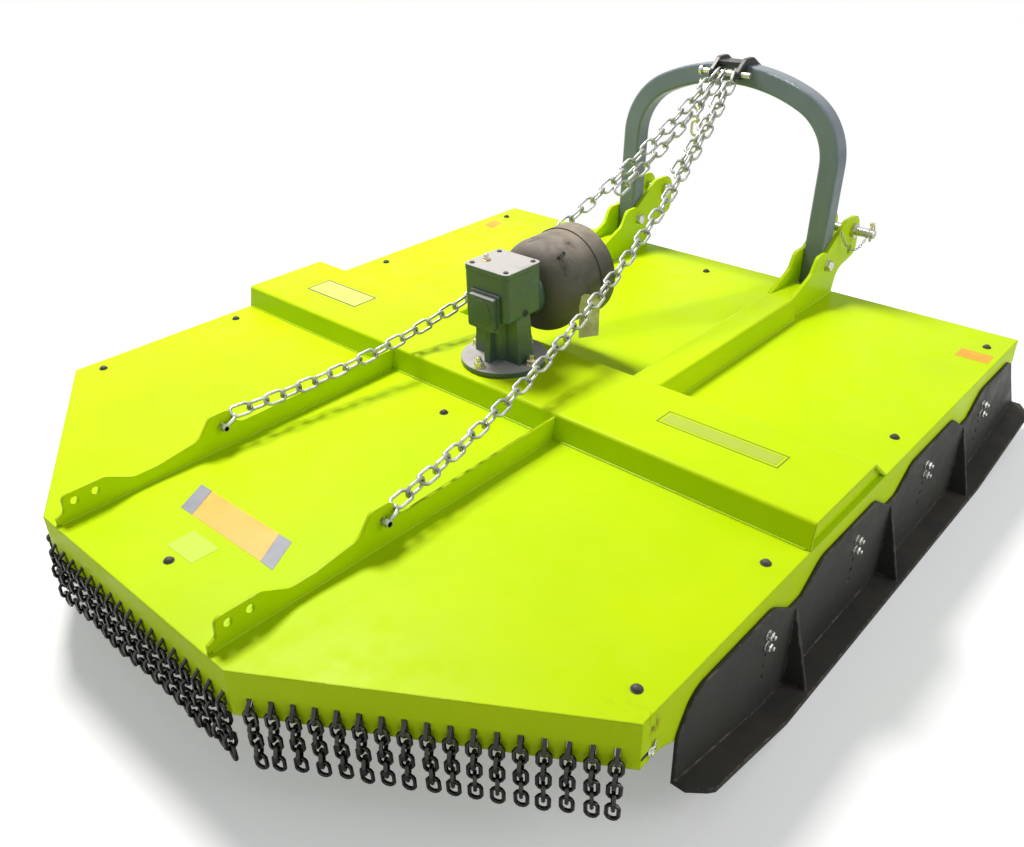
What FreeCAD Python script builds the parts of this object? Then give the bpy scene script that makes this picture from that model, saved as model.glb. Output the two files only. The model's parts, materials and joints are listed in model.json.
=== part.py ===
import FreeCAD, Part

# Linkage-mounted rotary brush cutter, millimetres, +Z up.
#
# Every sub-part is drawn in one working frame: X to the machine's right, Y forward from
# the middle of the rear edge of the deck, Z up from the deck's top surface.  One placement
# then carries all of them to the part's frame, whose origin lies on the ground under the
# middle of the machine.

import math
import os
import Sketcher

Vec = FreeCAD.Vector
DOC = FreeCAD.newDocument("BrushCutter")
SHEET = DOC.addObject("Spreadsheet::Sheet", "Dims")

DIMENSIONS = [
    # deck
    ("deckWidth", 1900, "width of the deck over its side skirts"),
    ("deckLength", 2190, "rear edge to front edge"),
    ("rearHalf", 340, "half the length of the square rear edge"),
    ("diagSideY", 373, "where the rear diagonals meet the sides"),
    ("plate", 6, "deck and skirt plate"),
    ("skirtDepth", 108, "depth of the skirts"),
    ("sideDepth", 150, "depth of the side skirts behind the skids"),
    ("deckTop", 315, "ground to the deck's top surface"),
    # cross beam
    ("beamRear", 944, "rear foot of the cross beam"),
    ("beamRearLean", 12, "lean of its rear face"),
    ("beamTopLength", 273, "flat top of the cross beam"),
    ("beamFrontLean", 76, "lean of its front face"),
    ("beamHigh", 63, "height of the cross beam"),
    ("beamRecess", 10, "end plates set in from the beam's ends"),
    ("beamShort", 2, "each end of the beam inside the deck's edge"),
    ("bend", 9, "outer radius of a folded corner"),
    # rear ribs
    ("ribX", 285, "centre plane of a rear rib"),
    ("ribThick", 8, "plate of a rear rib"),
    ("ribRear", 6, "rear end of a rib"),
    ("ribLow", 48, "height of a rib behind the beam"),
    ("ribHump", 64, "height of its rear end"),
    ("ribValley", 33, "height of its low place"),
    ("lugY", 416, "stay chain hole along the rib"),
    ("lugZ", 58, "height of that hole"),
    ("lugHigh", 92, "top of the lug"),
    ("lugHole", 9, "radius of that hole"),
    # front beams
    ("frontBeamX", 350, "centre plane of a front beam and mast leg"),
    ("frontBeamTop", 84, "width of its top"),
    ("frontBeamFlare", 14, "how far each side leans out"),
    ("frontBeamHigh", 60, "height of a front beam"),
    # mast
    ("tube", 60, "square tube of the mast"),
    ("tubeCorner", 7, "corner radius of the tube"),
    ("mastFoot", 42, "bottom of the mast legs"),
    ("boltIn", 25, "mast bolt in front of the leg's rear face"),
    ("mastLean", 3.3, "forward lean in degrees"),
    ("mastBend", 190, "bend radius of the shoulders"),
    ("mastTurn", 65, "degrees turned at each shoulder"),
    ("mastLegTop", 394, "where the shoulders start"),
    # hitch plates
    ("hitchThick", 12, "plate of the hitch brackets"),
    ("hitchLong", 265, "rear foot of a hitch plate behind the deck's front edge"),
    ("boltBack", 63, "mast bolt behind the deck's front edge"),
    ("boltZ", 105, "height of the mast bolt"),
    ("boltHole", 11, "radius of the mast bolt's hole"),
    ("linkAhead", 90, "lower link pin ahead of the deck's front edge"),
    ("linkZ", 175, "height of the lower link pin above the deck"),
    ("linkPin", 14.2, "radius of the lower link pin"),
    ("armRound", 44, "radius of the arm's end"),
    ("spareHoleDrop", 61, "second link hole under the first"),
    ("collar", 12, "collar on the lower link pin"),
    ("linkReach", 58, "free length of a lower link pin"),
    # top link
    ("clevisGap", 76, "between the top link plates"),
    ("clevisPlate", 12, "top link plate"),
    ("clevisBack", 16, "plate round the stay pin"),
    ("clevisNose", 28, "plate round the top link hole"),
    ("clevisRise", 40, "top of the plates above the stay pin"),
    ("topLinkZ", 604, "height of the top link pin above the deck"),
    ("topLinkAhead", 120, "top link hole in front of the leg's rear face"),
    ("topLinkHole", 12.95, "radius of the top link hole"),
    ("stayZ", 628, "height of the stay pin"),
    ("stayBack", 4, "stay pin behind the leg's rear face"),
    ("stayPin", 8, "radius of the stay pin"),
    ("stayX", 62, "where a stay chain hangs on its pin"),
    # gearbox
    ("rotorY", 1091, "rotor axis from the rear edge"),
    ("flangeRound", 113, "radius of the gearbox flange"),
    ("flangeThick", 14, "gearbox flange"),
    ("neckCore", 40, "radius of the neck between its arms"),
    ("armFoot", 78, "reach of a side arm of the neck at the flange"),
    ("armHead", 68, "reach of a side arm at the housing"),
    ("armWide", 52, "side arm, rear to front"),
    ("webReach", 66, "reach of the front and rear webs"),
    ("webWide", 18, "front and rear webs"),
    ("boxWide", 145, "gearbox housing, side to side"),
    ("boxRear", 1028, "rear face of the housing"),
    ("boxLong", 132, "housing, rear to front"),
    ("boxBottom", 196, "underside of the housing above the deck"),
    ("boxTop", 316, "top of the housing above the deck"),
    ("boxBreak", 10, "broken lower edges of the housing"),
    ("boxCorner", 14, "corner radius of the housing"),
    ("coverThick", 14, "top cover"),
    ("inputZ", 222, "height of the input shaft above the deck"),
    ("snout", 70, "radius of the bearing carrier through the deck"),
    ("snoutDrop", 50, "how far the carrier reaches below the deck"),
    ("capWide", 86, "rear cap"),
    ("capThick", 20, "rear cap with its pad"),
    ("capCorner", 7, "corners of the rear cap"),
    ("capPad", 100, "pad behind the rear cap"),
    ("capPadThick", 6, "pad behind the rear cap"),
    # input
    ("neckRound", 62, "front bearing carrier"),
    ("neckLong", 26, "front bearing carrier"),
    ("sealRound", 50, "seal carrier inside the guard"),
    ("sealLong", 34, "seal carrier"),
    ("journal", 20, "radius of the input shaft in its bearing"),
    ("splineRound", 17.45, "outer radius of the splined end"),
    ("splineLong", 88, "splined end"),
    ("guardRound", 128, "radius of the drive guard"),
    ("guardWall", 4, "wall of the guard"),
    ("guardLong", 208, "guard"),
    ("guardShoulder", 62, "rounded back of the guard"),
    ("guardRim", 56, "stepped rim at its open end"),
    ("guardStep", 3, "step of that rim"),
    # rotor
    ("outShaft", 25, "radius of the output shaft"),
    ("running", 0.08, "radial clearance of a running fit"),
    ("hubRound", 52, "rotor hub"),
    ("hubTop", 58, "top of the hub below the deck's surface"),
    ("barTop", 165, "top of the blade carrier below the deck's surface"),
    ("barThick", 25, "blade carrier"),
    ("barWide", 110, "blade carrier"),
    ("pivotReach", 510, "blade bolt from the rotor axis"),
    ("bladeReach", 385, "blade bolt to the blade's tip"),
    ("bladeWide", 80, "blade"),
    ("bladeThick", 12, "blade"),
    ("bladeCrank", 40, "drop of the blade's outer part"),
    ("bladeBolt", 18, "radius of a blade bolt"),
    ("bladeGap", 5, "spacer between the carrier and a blade"),
    ("bladePlay", 0.5, "play of a blade on its bolt"),
    ("dishRound", 112, "guard dish under the rotor"),
    # skids
    ("skidPlate", 8, "skid plate"),
    ("skidFoot", 68, "width of the foot from the skirt"),
    ("footThick", 12, "skid foot"),
    ("skidBack", 105, "rear tip of a skid ahead of the diagonals"),
    ("skidAhead", 100, "front tip of a skid ahead of the deck"),
    ("rearRise", 75, "how far the rear tip is turned up"),
    ("frontRise", 66, "how far the front tip is turned up"),
    ("rearTip", 322, "length of the rear that is turned up"),
    ("frontTip", 410, "length of the front that is turned up"),
    ("skidHigh", 42, "top edge of a skid below the deck's surface"),
    ("skidLow", 94, "low places of that edge"),
    ("noseLong", 48, "length of a skid tip's bevel"),
    ("noseWide", 40, "width of that bevel"),
    ("noseShort", 30, "length of its blunter corner"),
    ("noseThin", 8, "width of its blunter corner"),
    ("gussetFirst", 98, "first gusset ahead of the rear bend"),
    ("gussetLast", 66, "last gusset behind the front bend"),
    ("gussetThick", 8, "gusset"),
    ("stationFirst", 305, "first bolt station ahead of the skid's rear tip"),
    ("stationLast", 343, "last bolt station behind its front tip"),
    ("skidBoltDrop", 97, "upper skid bolt below the deck's surface"),
    ("skidHolePitch", 28, "skid hole to skid hole"),
    ("skidHole", 5.5, "radius of a skid hole"),
    # chain curtains
    ("chainPitch", 40, "strand to strand"),
    ("rodWide", 12, "curtain rod"),
    ("rodDrop", 76, "rod below the deck's surface"),
    ("rodIn", 20, "rod inside the skirt's outer face"),
    ("linkWide", 30, "width of a curtain link"),
    ("linkThick", 8, "wire of a curtain link"),
    ("strandDrop", 232, "bottom of a strand below the deck's surface"),
    ("curtainReach", 28, "how far the links stand outside the skirt"),
    ("slotWide", 10, "slot for a strand"),
    ("slotHigh", 28, "slot for a strand"),
    ("slotLow", 90, "bottom of a slot below the deck's surface"),
    ("slotPlay", 3, "room over a link in its slot"),
    ("strandEnd", 20, "least distance from an edge's end to a strand"),
    ("rodEnd", 14, "rod past its last strand"),
    ("linkDeep", 14, "depth of a hanging strand"),
    # stay chains
    ("stayLinkWide", 32, "width of a stay chain link"),
    ("stayWire", 9, "wire of a stay chain"),
    ("stayLinks", 16, "bars drawn in a stay chain"),
    ("staySagRight", 100, "sag of the right stay chain at its middle"),
    ("staySagLeft", 140, "sag of the left stay chain at its middle"),
    ("hookWide", 36, "end plate of a stay chain on its pin"),
    ("looseFit", 0.3, "gap of a loose joint"),
    ("shackleBar", 10, "bar of a shackle"),
    ("shackleLong", 46, "lug hole to the shackle's cross bar"),
    ("shackleGap", 8, "room between a rib and a shackle"),
]


def fill_sheet():
    """Write the driving dimensions, one to a row, with their notes."""
    for row, (alias, number, note) in enumerate(DIMENSIONS, start=1):
        SHEET.set("A%d" % row, str(number))
        SHEET.setAlias("A%d" % row, alias)
        SHEET.set("B%d" % row, "'" + note)
    DOC.recompute()


# places that several sub-parts share, each worked out from the sheet and the ones before it
PLACES = [
    ("half", "Dims.deckWidth / 2"),
    ("linkY", "Dims.deckLength + Dims.linkAhead"),
    ("hitchRear", "Dims.deckLength - Dims.hitchLong"),
    ("boltY", "Dims.deckLength - Dims.boltBack"),
    ("mastRearY", "At.boltY - Dims.boltIn"),
    ("stayY", "At.mastRearY - Dims.stayBack"),
    ("topLinkY", "At.mastRearY + Dims.topLinkAhead"),
    ("skidRear", "Dims.diagSideY + Dims.skidBack"),
    ("skidFront", "Dims.deckLength + Dims.skidAhead"),
    ("rearBend", "At.skidRear + Dims.rearTip"),
    ("frontBend", "At.skidFront - Dims.frontTip"),
    ("gussetStart", "At.rearBend + Dims.gussetFirst"),
    ("gussetStep", "(At.frontBend - Dims.gussetLast - At.gussetStart) / 2"),
    ("stationStart", "At.skidRear + Dims.stationFirst"),
    ("stationRow", "At.skidFront - Dims.stationLast - At.stationStart"),
    ("diagAngle", "atan(Dims.diagSideY / (At.half - Dims.rearHalf))"),
    ("diagLong", "sqrt((At.half - Dims.rearHalf) ^ 2 + Dims.diagSideY ^ 2)"),
    ("beamFront", "Dims.beamRear + Dims.beamRearLean + Dims.beamTopLength"),
    ("beamFoot", "At.beamFront + Dims.beamFrontLean"),
    ("boxFront", "Dims.boxRear + Dims.boxLong"),
    ("innerHitch", "Dims.frontBeamX - Dims.tube / 2 - Dims.hitchThick"),
    ("outerHitch", "Dims.frontBeamX + Dims.tube / 2"),
    ("footTop", "Dims.deckTop - Dims.footThick"),
    ("barLow", "Dims.barTop + Dims.barThick"),
    ("midY", "(At.linkY + Dims.armRound - Dims.curtainReach) / 2"),
]


def full(expression):
    """An expression with its named places written out."""
    for name, meaning in reversed(PLACES):
        expression = expression.replace("At." + name, "(%s)" % meaning)
    return expression


def size(expression):
    """Value of an expression in the sheet's dimensions, as a plain number."""
    found = SHEET.evalExpression(full(expression))
    return float(getattr(found, "Value", found))


# ---------------------------------------------------------------- building helpers


def new_body(label):
    """A PartDesign body that carries its node's name."""
    body = DOC.addObject("PartDesign::Body", "Body_" + label)
    body.Label = label
    return body


def origin_plane(body, role):
    """One of the body's own origin planes."""
    return [item for item in body.Origin.OriginFeatures if item.Role == role][0]


def new_sketch(body, role, name, offset=None):
    """A sketch on an origin plane; offset is (x, y, z) in the sketch's own frame."""
    sketch = body.newObject("Sketcher::SketchObject", name)
    sketch.AttachmentSupport = (origin_plane(body, role), [""])
    sketch.MapMode = "FlatFace"
    if offset:
        for axis, expression in zip("xyz", offset):
            if expression not in ("0", None):
                sketch.setExpression("AttachmentOffset.Base." + axis, full(expression))
    return sketch


class Rules:
    """Constraints collected for one sketch, with the expressions that drive them."""

    def __init__(self, sketch):
        self.sketch = sketch
        self.made = []
        self.driven = []

    def plain(self, *facts):
        """Add a constraint that has no size."""
        self.made.append(Sketcher.Constraint(*facts))

    def sized(self, expression, *facts):
        """Add a constraint whose size follows an expression."""
        self.driven.append((len(self.made), expression))
        self.made.append(Sketcher.Constraint(*facts))

    def locate(self, geo, pos, across, up):
        """Hold a point at the given expressions from the sketch's origin."""
        for kind, axis, expression in (("DistanceX", -2, across), ("DistanceY", -1, up)):
            value = size(expression)
            if abs(value) < 1e-9:
                self.plain("PointOnObject", geo, pos, axis)
            elif value > 0:
                self.sized(expression, kind, -1, 1, geo, pos, value)
            else:
                self.sized("-(%s)" % expression, kind, geo, pos, -1, 1, -value)

    def apply(self):
        """Put them all in the sketch."""
        first = len(self.sketch.Constraints)
        self.sketch.addConstraint(self.made)
        for index, expression in self.driven:
            self.sketch.setExpression("Constraints[%d]" % (first + index), full(expression))


def outline(sketch, corners):
    """Closed outline through corners (x, y) or (x, y, radius), all expressions."""
    rules = Rules(sketch)
    points = [Vec(size(corner[0]), size(corner[1]), 0) for corner in corners]
    count = len(points)
    cuts = []
    for index, corner in enumerate(corners):
        here = points[index]
        back = (points[index - 1] - here).normalize()
        ahead = (points[(index + 1) % count] - here).normalize()
        if len(corner) == 2:
            cuts.append((here, here, 0.0, None))
            continue
        radius = size(corner[2])
        half = back.getAngle(ahead) / 2
        reach = radius / math.tan(half)
        middle = (back + ahead).normalize() * (radius / math.sin(half)) + here
        cuts.append((here + back * reach, here + ahead * reach, radius, middle))
    lines = []
    for index in range(count):
        start = cuts[index][1]
        end = cuts[(index + 1) % count][0]
        lines.append(sketch.addGeometry(Part.LineSegment(start, end)))
    for index, corner in enumerate(corners):
        before = lines[index - 1]
        after = lines[index]
        enter, leave, radius, middle = cuts[index]
        if not radius:
            rules.plain("Coincident", before, 2, after, 1)
            rules.locate(after, 1, corner[0], corner[1])
            continue
        turn = (points[index] - points[index - 1]).cross(points[(index + 1) % count] - points[index]).z
        first, last = (enter, leave) if turn > 0 else (leave, enter)
        start = math.atan2(first.y - middle.y, first.x - middle.x)
        stop = math.atan2(last.y - middle.y, last.x - middle.x)
        ring = Part.Circle(middle, Vec(0, 0, 1), radius)
        arc = sketch.addGeometry(Part.ArcOfCircle(ring, start, stop))
        mark = sketch.addGeometry(Part.Point(points[index]), True)
        rules.plain("Tangent", before, 2, arc, 1 if turn > 0 else 2)
        rules.plain("Tangent", arc, 2 if turn > 0 else 1, after, 1)
        rules.sized(corner[2], "Radius", arc, radius)
        rules.plain("PointOnObject", mark, 1, before)
        rules.plain("PointOnObject", mark, 1, after)
        rules.locate(mark, 1, corner[0], corner[1])
    rules.apply()


def ring(sketch, across, up, radius):
    """A circle at the given expressions."""
    rules = Rules(sketch)
    centre = Vec(size(across), size(up), 0)
    geo = sketch.addGeometry(Part.Circle(centre, Vec(0, 0, 1), size(radius)))
    rules.locate(geo, 3, across, up)
    rules.sized(radius, "Radius", geo, size(radius))
    rules.apply()


def rectangle(sketch, left, bottom, right, top):
    """An upright rectangle between four expressions."""
    outline(sketch, [(left, bottom), (right, bottom), (right, top), (left, top)])


def pad(body, sketch, name, length, symmetric=False, reverse=False):
    """Pad a sketch by an expression."""
    feature = body.newObject("PartDesign::Pad", name)
    feature.Profile = sketch
    if symmetric:
        feature.SideType = "Symmetric"
    feature.Reversed = reverse
    feature.setExpression("Length", full(length))
    DOC.recompute()
    return feature


def pocket(body, sketch, name, length, symmetric=False, reverse=False):
    """Cut a sketch by an expression, and make sure that something was cut."""
    before = body.Shape.Volume
    feature = body.newObject("PartDesign::Pocket", name)
    feature.Profile = sketch
    if symmetric:
        feature.SideType = "Symmetric"
    feature.Reversed = reverse
    feature.setExpression("Length", full(length))
    DOC.recompute()
    if not body.Shape.Volume < before - 1e-3:
        raise RuntimeError(name + " cuts nothing")
    return feature


def revolve(body, sketch, name, axis="V_Axis"):
    """Turn a sketch once about one of its own axes."""
    feature = body.newObject("PartDesign::Revolution", name)
    feature.Profile = sketch
    feature.ReferenceAxis = (sketch, [axis])
    feature.Angle = 360
    DOC.recompute()
    return feature


def row(body, features, name, sketch, length, count):
    """Repeat features along a sketch's horizontal axis."""
    pattern = body.newObject("PartDesign::LinearPattern", name)
    pattern.Originals = features
    pattern.Direction = (sketch, ["H_Axis"])
    pattern.setExpression("Length", full(length))
    pattern.setExpression("Occurrences", full(count))
    body.Tip = pattern
    DOC.recompute()
    return pattern


def circle_of(body, features, name, sketch, axis, count):
    """Repeat features round a sketch axis."""
    pattern = body.newObject("PartDesign::PolarPattern", name)
    pattern.Originals = features
    pattern.Axis = (sketch, [axis])
    pattern.Angle = 360
    pattern.Occurrences = count
    body.Tip = pattern
    DOC.recompute()
    return pattern


def settle(item):
    """Carry a sub-part from the working frame to the part's frame."""
    item.setExpression("Placement.Base.y", full("-At.midY"))
    item.setExpression("Placement.Base.z", "Dims.deckTop")


NODES = []


def keep(item):
    """Settle a sub-part and list it as a node."""
    settle(item)
    NODES.append(item)
    return item


def mirror_of(item, label):
    """The other hand of a sub-part, across the machine's middle plane."""
    twin = DOC.addObject("Part::Mirroring", "Mirror_" + label)
    twin.Source = item
    twin.Normal = Vec(1, 0, 0)
    twin.Base = Vec(0, 0, 0)
    twin.Label = label
    NODES.append(twin)
    return twin


# ---------------------------------------------------------------- deck


class Edge:
    """An edge of the deck that carries a curtain, with the plane that its sketches lie on."""

    def __init__(self, name, side, length):
        self.name = name
        self.side = side
        self.length = length
        self.count = "floor((%s - 2 * Dims.strandEnd) / Dims.chainPitch + 0.001) + 1" % length
        self.span = "(%s - 1) * Dims.chainPitch" % self.count
        self.first = "-(%s) / 2" % self.span

    def sketch(self, body, name, out="0"):
        """A sketch along the edge: x along it from its middle, y up, out mm outside it."""
        sketch = new_sketch(body, "XZ_Plane", name)
        if self.name == "rear":
            sketch.setExpression("AttachmentOffset.Base.z", full(out))
        elif self.name == "front":
            half_turn = FreeCAD.Rotation(Vec(0, 1, 0), 180)
            sketch.AttachmentOffset = FreeCAD.Placement(Vec(0, 0, 0), half_turn)
            sketch.setExpression("AttachmentOffset.Base.z", full("-Dims.deckLength - (%s)" % out))
        else:
            turn = FreeCAD.Rotation(Vec(0, self.side, 0), 30)
            sketch.AttachmentOffset = FreeCAD.Placement(Vec(0, 0, 0), turn)
            across = "%d * ((Dims.rearHalf + At.half) / 2 + sin(At.diagAngle) * (%s))" % (self.side, out)
            sketch.setExpression("AttachmentOffset.Base.x", full(across))
            along = "cos(At.diagAngle) * (%s) - Dims.diagSideY / 2" % out
            sketch.setExpression("AttachmentOffset.Base.z", full(along))
            sketch.setExpression("AttachmentOffset.Rotation.Angle", full("At.diagAngle"))
        return sketch


EDGES = [
    Edge("rear", 0, "(2 * Dims.rearHalf)"),
    Edge("rear_right", 1, "At.diagLong"),
    Edge("rear_left", -1, "At.diagLong"),
    Edge("front", 0, "Dims.deckWidth"),
]


def slot_row(body, edge):
    """A row of upright slots through one skirt."""
    sketch = edge.sketch(body, "slot_" + edge.name)
    rectangle(sketch, "%s - Dims.slotWide / 2" % edge.first, "-Dims.slotLow",
              "%s + Dims.slotWide / 2" % edge.first, "Dims.slotHigh - Dims.slotLow")
    cut = pocket(body, sketch, "slots_" + edge.name, "Dims.plate * 2.4", symmetric=True)
    row(body, [cut], "row_" + edge.name, sketch, edge.span, edge.count)


def make_deck():
    """Deck plate with its folded skirts and the slots for the chain strands."""
    body = new_body("deck_shell")
    sketch = new_sketch(body, "XY_Plane", "deck_outline")
    outline(sketch, [
        ("Dims.rearHalf", "0"), ("At.half", "Dims.diagSideY"), ("At.half", "Dims.deckLength"),
        ("-At.half", "Dims.deckLength"), ("-At.half", "Dims.diagSideY"), ("-Dims.rearHalf", "0"),
    ])
    pad(body, sketch, "deck_block", "Dims.skirtDepth", reverse=True)
    inside = new_sketch(body, "XY_Plane", "deck_inside", ("0", "0", "-Dims.plate"))
    back = "Dims.rearHalf - Dims.plate * tan(At.diagAngle / 2)"
    side = "At.half - Dims.plate"
    corner = "Dims.diagSideY + Dims.plate * (1 - sin(At.diagAngle)) / cos(At.diagAngle)"
    front = "Dims.deckLength - Dims.plate"
    outline(inside, [
        (back, "Dims.plate"), (side, corner), (side, front),
        ("-(%s)" % side, front), ("-(%s)" % side, corner), ("-(%s)" % back, "Dims.plate"),
    ])
    pocket(body, inside, "deck_hollow", "Dims.skirtDepth")
    for name, hand in (("right", 1), ("left", -1)):
        start = "At.half - Dims.plate" if hand > 0 else "-At.half"
        strip = new_sketch(body, "YZ_Plane", "strip_" + name, ("0", "0", start))
        rear = "Dims.diagSideY + 60"
        nose = "Dims.deckLength - 40"
        outline(strip, [
            (rear, "-Dims.plate"), (rear, "-Dims.skirtDepth"),
            ("%s + 90" % rear, "-Dims.sideDepth"), ("%s - 90" % nose, "-Dims.sideDepth"),
            (nose, "-Dims.skirtDepth"), (nose, "-Dims.plate"),
        ])
        pad(body, strip, "side_" + name, "Dims.plate")
    eye = new_sketch(body, "XY_Plane", "deck_eye")
    ring(eye, "0", "Dims.rotorY", "Dims.snout + 2")
    pocket(body, eye, "deck_opening", "Dims.plate * 2")
    for edge in EDGES:
        slot_row(body, edge)
    keep(body)


def make_cross_beam():
    """Hat section across the deck, open below, with an end plate near each end."""
    body = new_body("cross_beam")
    top = "Dims.beamHigh"
    outer = new_sketch(body, "YZ_Plane", "beam_outside")
    outline(outer, [
        ("Dims.beamRear", "0"), ("At.beamFoot", "0"), ("At.beamFront", top, "Dims.bend"),
        ("Dims.beamRear + Dims.beamRearLean", top, "Dims.bend"),
    ])
    pad(body, outer, "beam_block", "Dims.deckWidth - 2 * Dims.beamShort", symmetric=True)
    rear_in = "Dims.plate / sin(atan(Dims.beamHigh / Dims.beamRearLean))"
    front_in = "Dims.plate / sin(atan(Dims.beamHigh / Dims.beamFrontLean))"
    rise = "(Dims.beamHigh - Dims.plate) / Dims.beamHigh"
    hollow = [
        ("Dims.beamRear + %s" % rear_in, "0"),
        ("At.beamFoot - %s" % front_in, "0"),
        ("At.beamFoot - %s - Dims.beamFrontLean * %s" % (front_in, rise),
         "Dims.beamHigh - Dims.plate", "Dims.bend - Dims.plate"),
        ("Dims.beamRear + %s + Dims.beamRearLean * %s" % (rear_in, rise),
         "Dims.beamHigh - Dims.plate", "Dims.bend - Dims.plate"),
    ]
    inner = new_sketch(body, "YZ_Plane", "beam_inside")
    outline(inner, hollow)
    pocket(body, inner, "beam_hollow", "Dims.deckWidth", symmetric=True)
    for name, start in (("right", "At.half - Dims.beamShort - Dims.beamRecess - Dims.plate"),
                        ("left", "-(At.half - Dims.beamShort - Dims.beamRecess)")):
        end = new_sketch(body, "YZ_Plane", "end_" + name, ("0", "0", start))
        outline(end, hollow)
        pad(body, end, "end_plate_" + name, "Dims.plate")
    eye = new_sketch(body, "XY_Plane", "beam_eye", ("0", "0", "Dims.beamHigh"))
    ring(eye, "0", "Dims.rotorY", "Dims.snout + 2")
    pocket(body, eye, "beam_opening", "Dims.plate * 2")
    keep(body)


def make_rear_ribs():
    """Upright rib from the rear edge to the cross beam, with the stay chain lug."""
    body = new_body("rear_rib_right")
    half = "Dims.ribX - Dims.ribThick / 2"
    sketch = new_sketch(body, "YZ_Plane", "rib_outline", ("0", "0", half))
    rear = "Dims.ribRear"
    outline(sketch, [
        (rear, "0"),
        ("Dims.beamRear", "0"),
        ("Dims.beamRear + Dims.beamRearLean * 0.88", "Dims.beamHigh * 0.88"),
        ("Dims.lugY + 90", "Dims.ribLow", "120"),
        ("Dims.lugY + 42", "Dims.ribLow", "26"),
        ("Dims.lugY + 26", "Dims.lugHigh", "20"),
        ("Dims.lugY - 26", "Dims.lugHigh", "20"),
        ("Dims.lugY - 62", "Dims.ribLow", "40"),
        ("Dims.lugY - 170", "Dims.ribValley", "50"),
        ("%s + 180" % rear, "Dims.ribValley", "40"),
        ("%s + 120" % rear, "Dims.ribHump", "24"),
        ("%s + 22" % rear, "Dims.ribHump", "16"),
        ("%s + 20" % rear, "26", "10"),
        (rear, "16"),
    ])
    pad(body, sketch, "rib_plate", "Dims.ribThick")
    holes = new_sketch(body, "YZ_Plane", "rib_holes", ("0", "0", half))
    ring(holes, "Dims.lugY", "Dims.lugZ", "Dims.lugHole")
    ring(holes, "%s + 46" % rear, "43", "Dims.lugHole")
    ring(holes, "%s + 93" % rear, "43", "Dims.lugHole")
    pocket(body, holes, "rib_eyes", "Dims.ribThick * 3", symmetric=True)
    keep(body)
    mirror_of(body, "rear_rib_left")


def make_front_beams():
    """Folded beam from the cross beam to the foot of each mast leg, open below."""
    body = new_body("front_beam_right")
    half = "Dims.frontBeamTop / 2"
    foot = "%s + Dims.frontBeamFlare" % half
    # the rear end is drawn through the cross beam and trimmed to its sloping front face below
    start = "Dims.beamRear + Dims.beamRearLean"
    outer = new_sketch(body, "XZ_Plane", "front_outside", ("Dims.frontBeamX", "0", "-At.hitchRear"))
    outline(outer, [
        ("-(%s)" % foot, "0"), (foot, "0"),
        (half, "Dims.frontBeamHigh", "Dims.bend"), ("-" + half, "Dims.frontBeamHigh", "Dims.bend"),
    ])
    pad(body, outer, "front_block", "At.hitchRear - (%s)" % start)
    tongue = new_sketch(body, "XZ_Plane", "front_tongue", ("Dims.frontBeamX", "0", "-At.hitchRear"))
    rectangle(tongue, "-Dims.tube / 2", "0", "Dims.tube / 2", "Dims.frontBeamHigh")
    pad(body, tongue, "front_tongue_block", "120", reverse=True)
    inner = new_sketch(body, "XZ_Plane", "front_inside", ("Dims.frontBeamX", "0", "-(At.hitchRear + 114)"))
    rectangle(inner, "-Dims.tube / 2 + Dims.plate", "0",
              "Dims.tube / 2 - Dims.plate", "Dims.frontBeamHigh - Dims.plate")
    pocket(body, inner, "front_hollow", "At.hitchRear", reverse=True)
    wall = "Dims.plate / cos(atan(Dims.frontBeamFlare / Dims.frontBeamHigh))"
    inside = "-(At.hitchRear - Dims.plate)"
    wide = new_sketch(body, "XZ_Plane", "front_wide", ("Dims.frontBeamX", "0", inside))
    low = "%s - %s" % (foot, wall)
    high = "%s + Dims.frontBeamFlare * Dims.plate / Dims.frontBeamHigh - %s" % (half, wall)
    outline(wide, [
        ("-(%s)" % low, "0"), (low, "0"), (high, "Dims.frontBeamHigh - Dims.plate"),
        ("-(%s)" % high, "Dims.frontBeamHigh - Dims.plate"),
    ])
    pocket(body, wide, "front_wide_hollow", "At.hitchRear", reverse=True)
    # trim to the cross beam's front face
    trim = new_sketch(body, "YZ_Plane", "front_trim", ("0", "0", "Dims.frontBeamX"))
    outline(trim, [
        ("%s - 60" % start, "-20"), ("%s - 60" % start, "Dims.beamHigh + 40"),
        ("At.beamFront", "Dims.beamHigh + 40"), ("At.beamFront", "Dims.beamHigh"),
        ("At.beamFoot", "0"), ("At.beamFoot", "-20"),
    ])
    pocket(body, trim, "front_fit", "Dims.frontBeamTop * 4", symmetric=True)
    keep(body)
    mirror_of(body, "front_beam_left")


# ---------------------------------------------------------------- hitch


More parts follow.
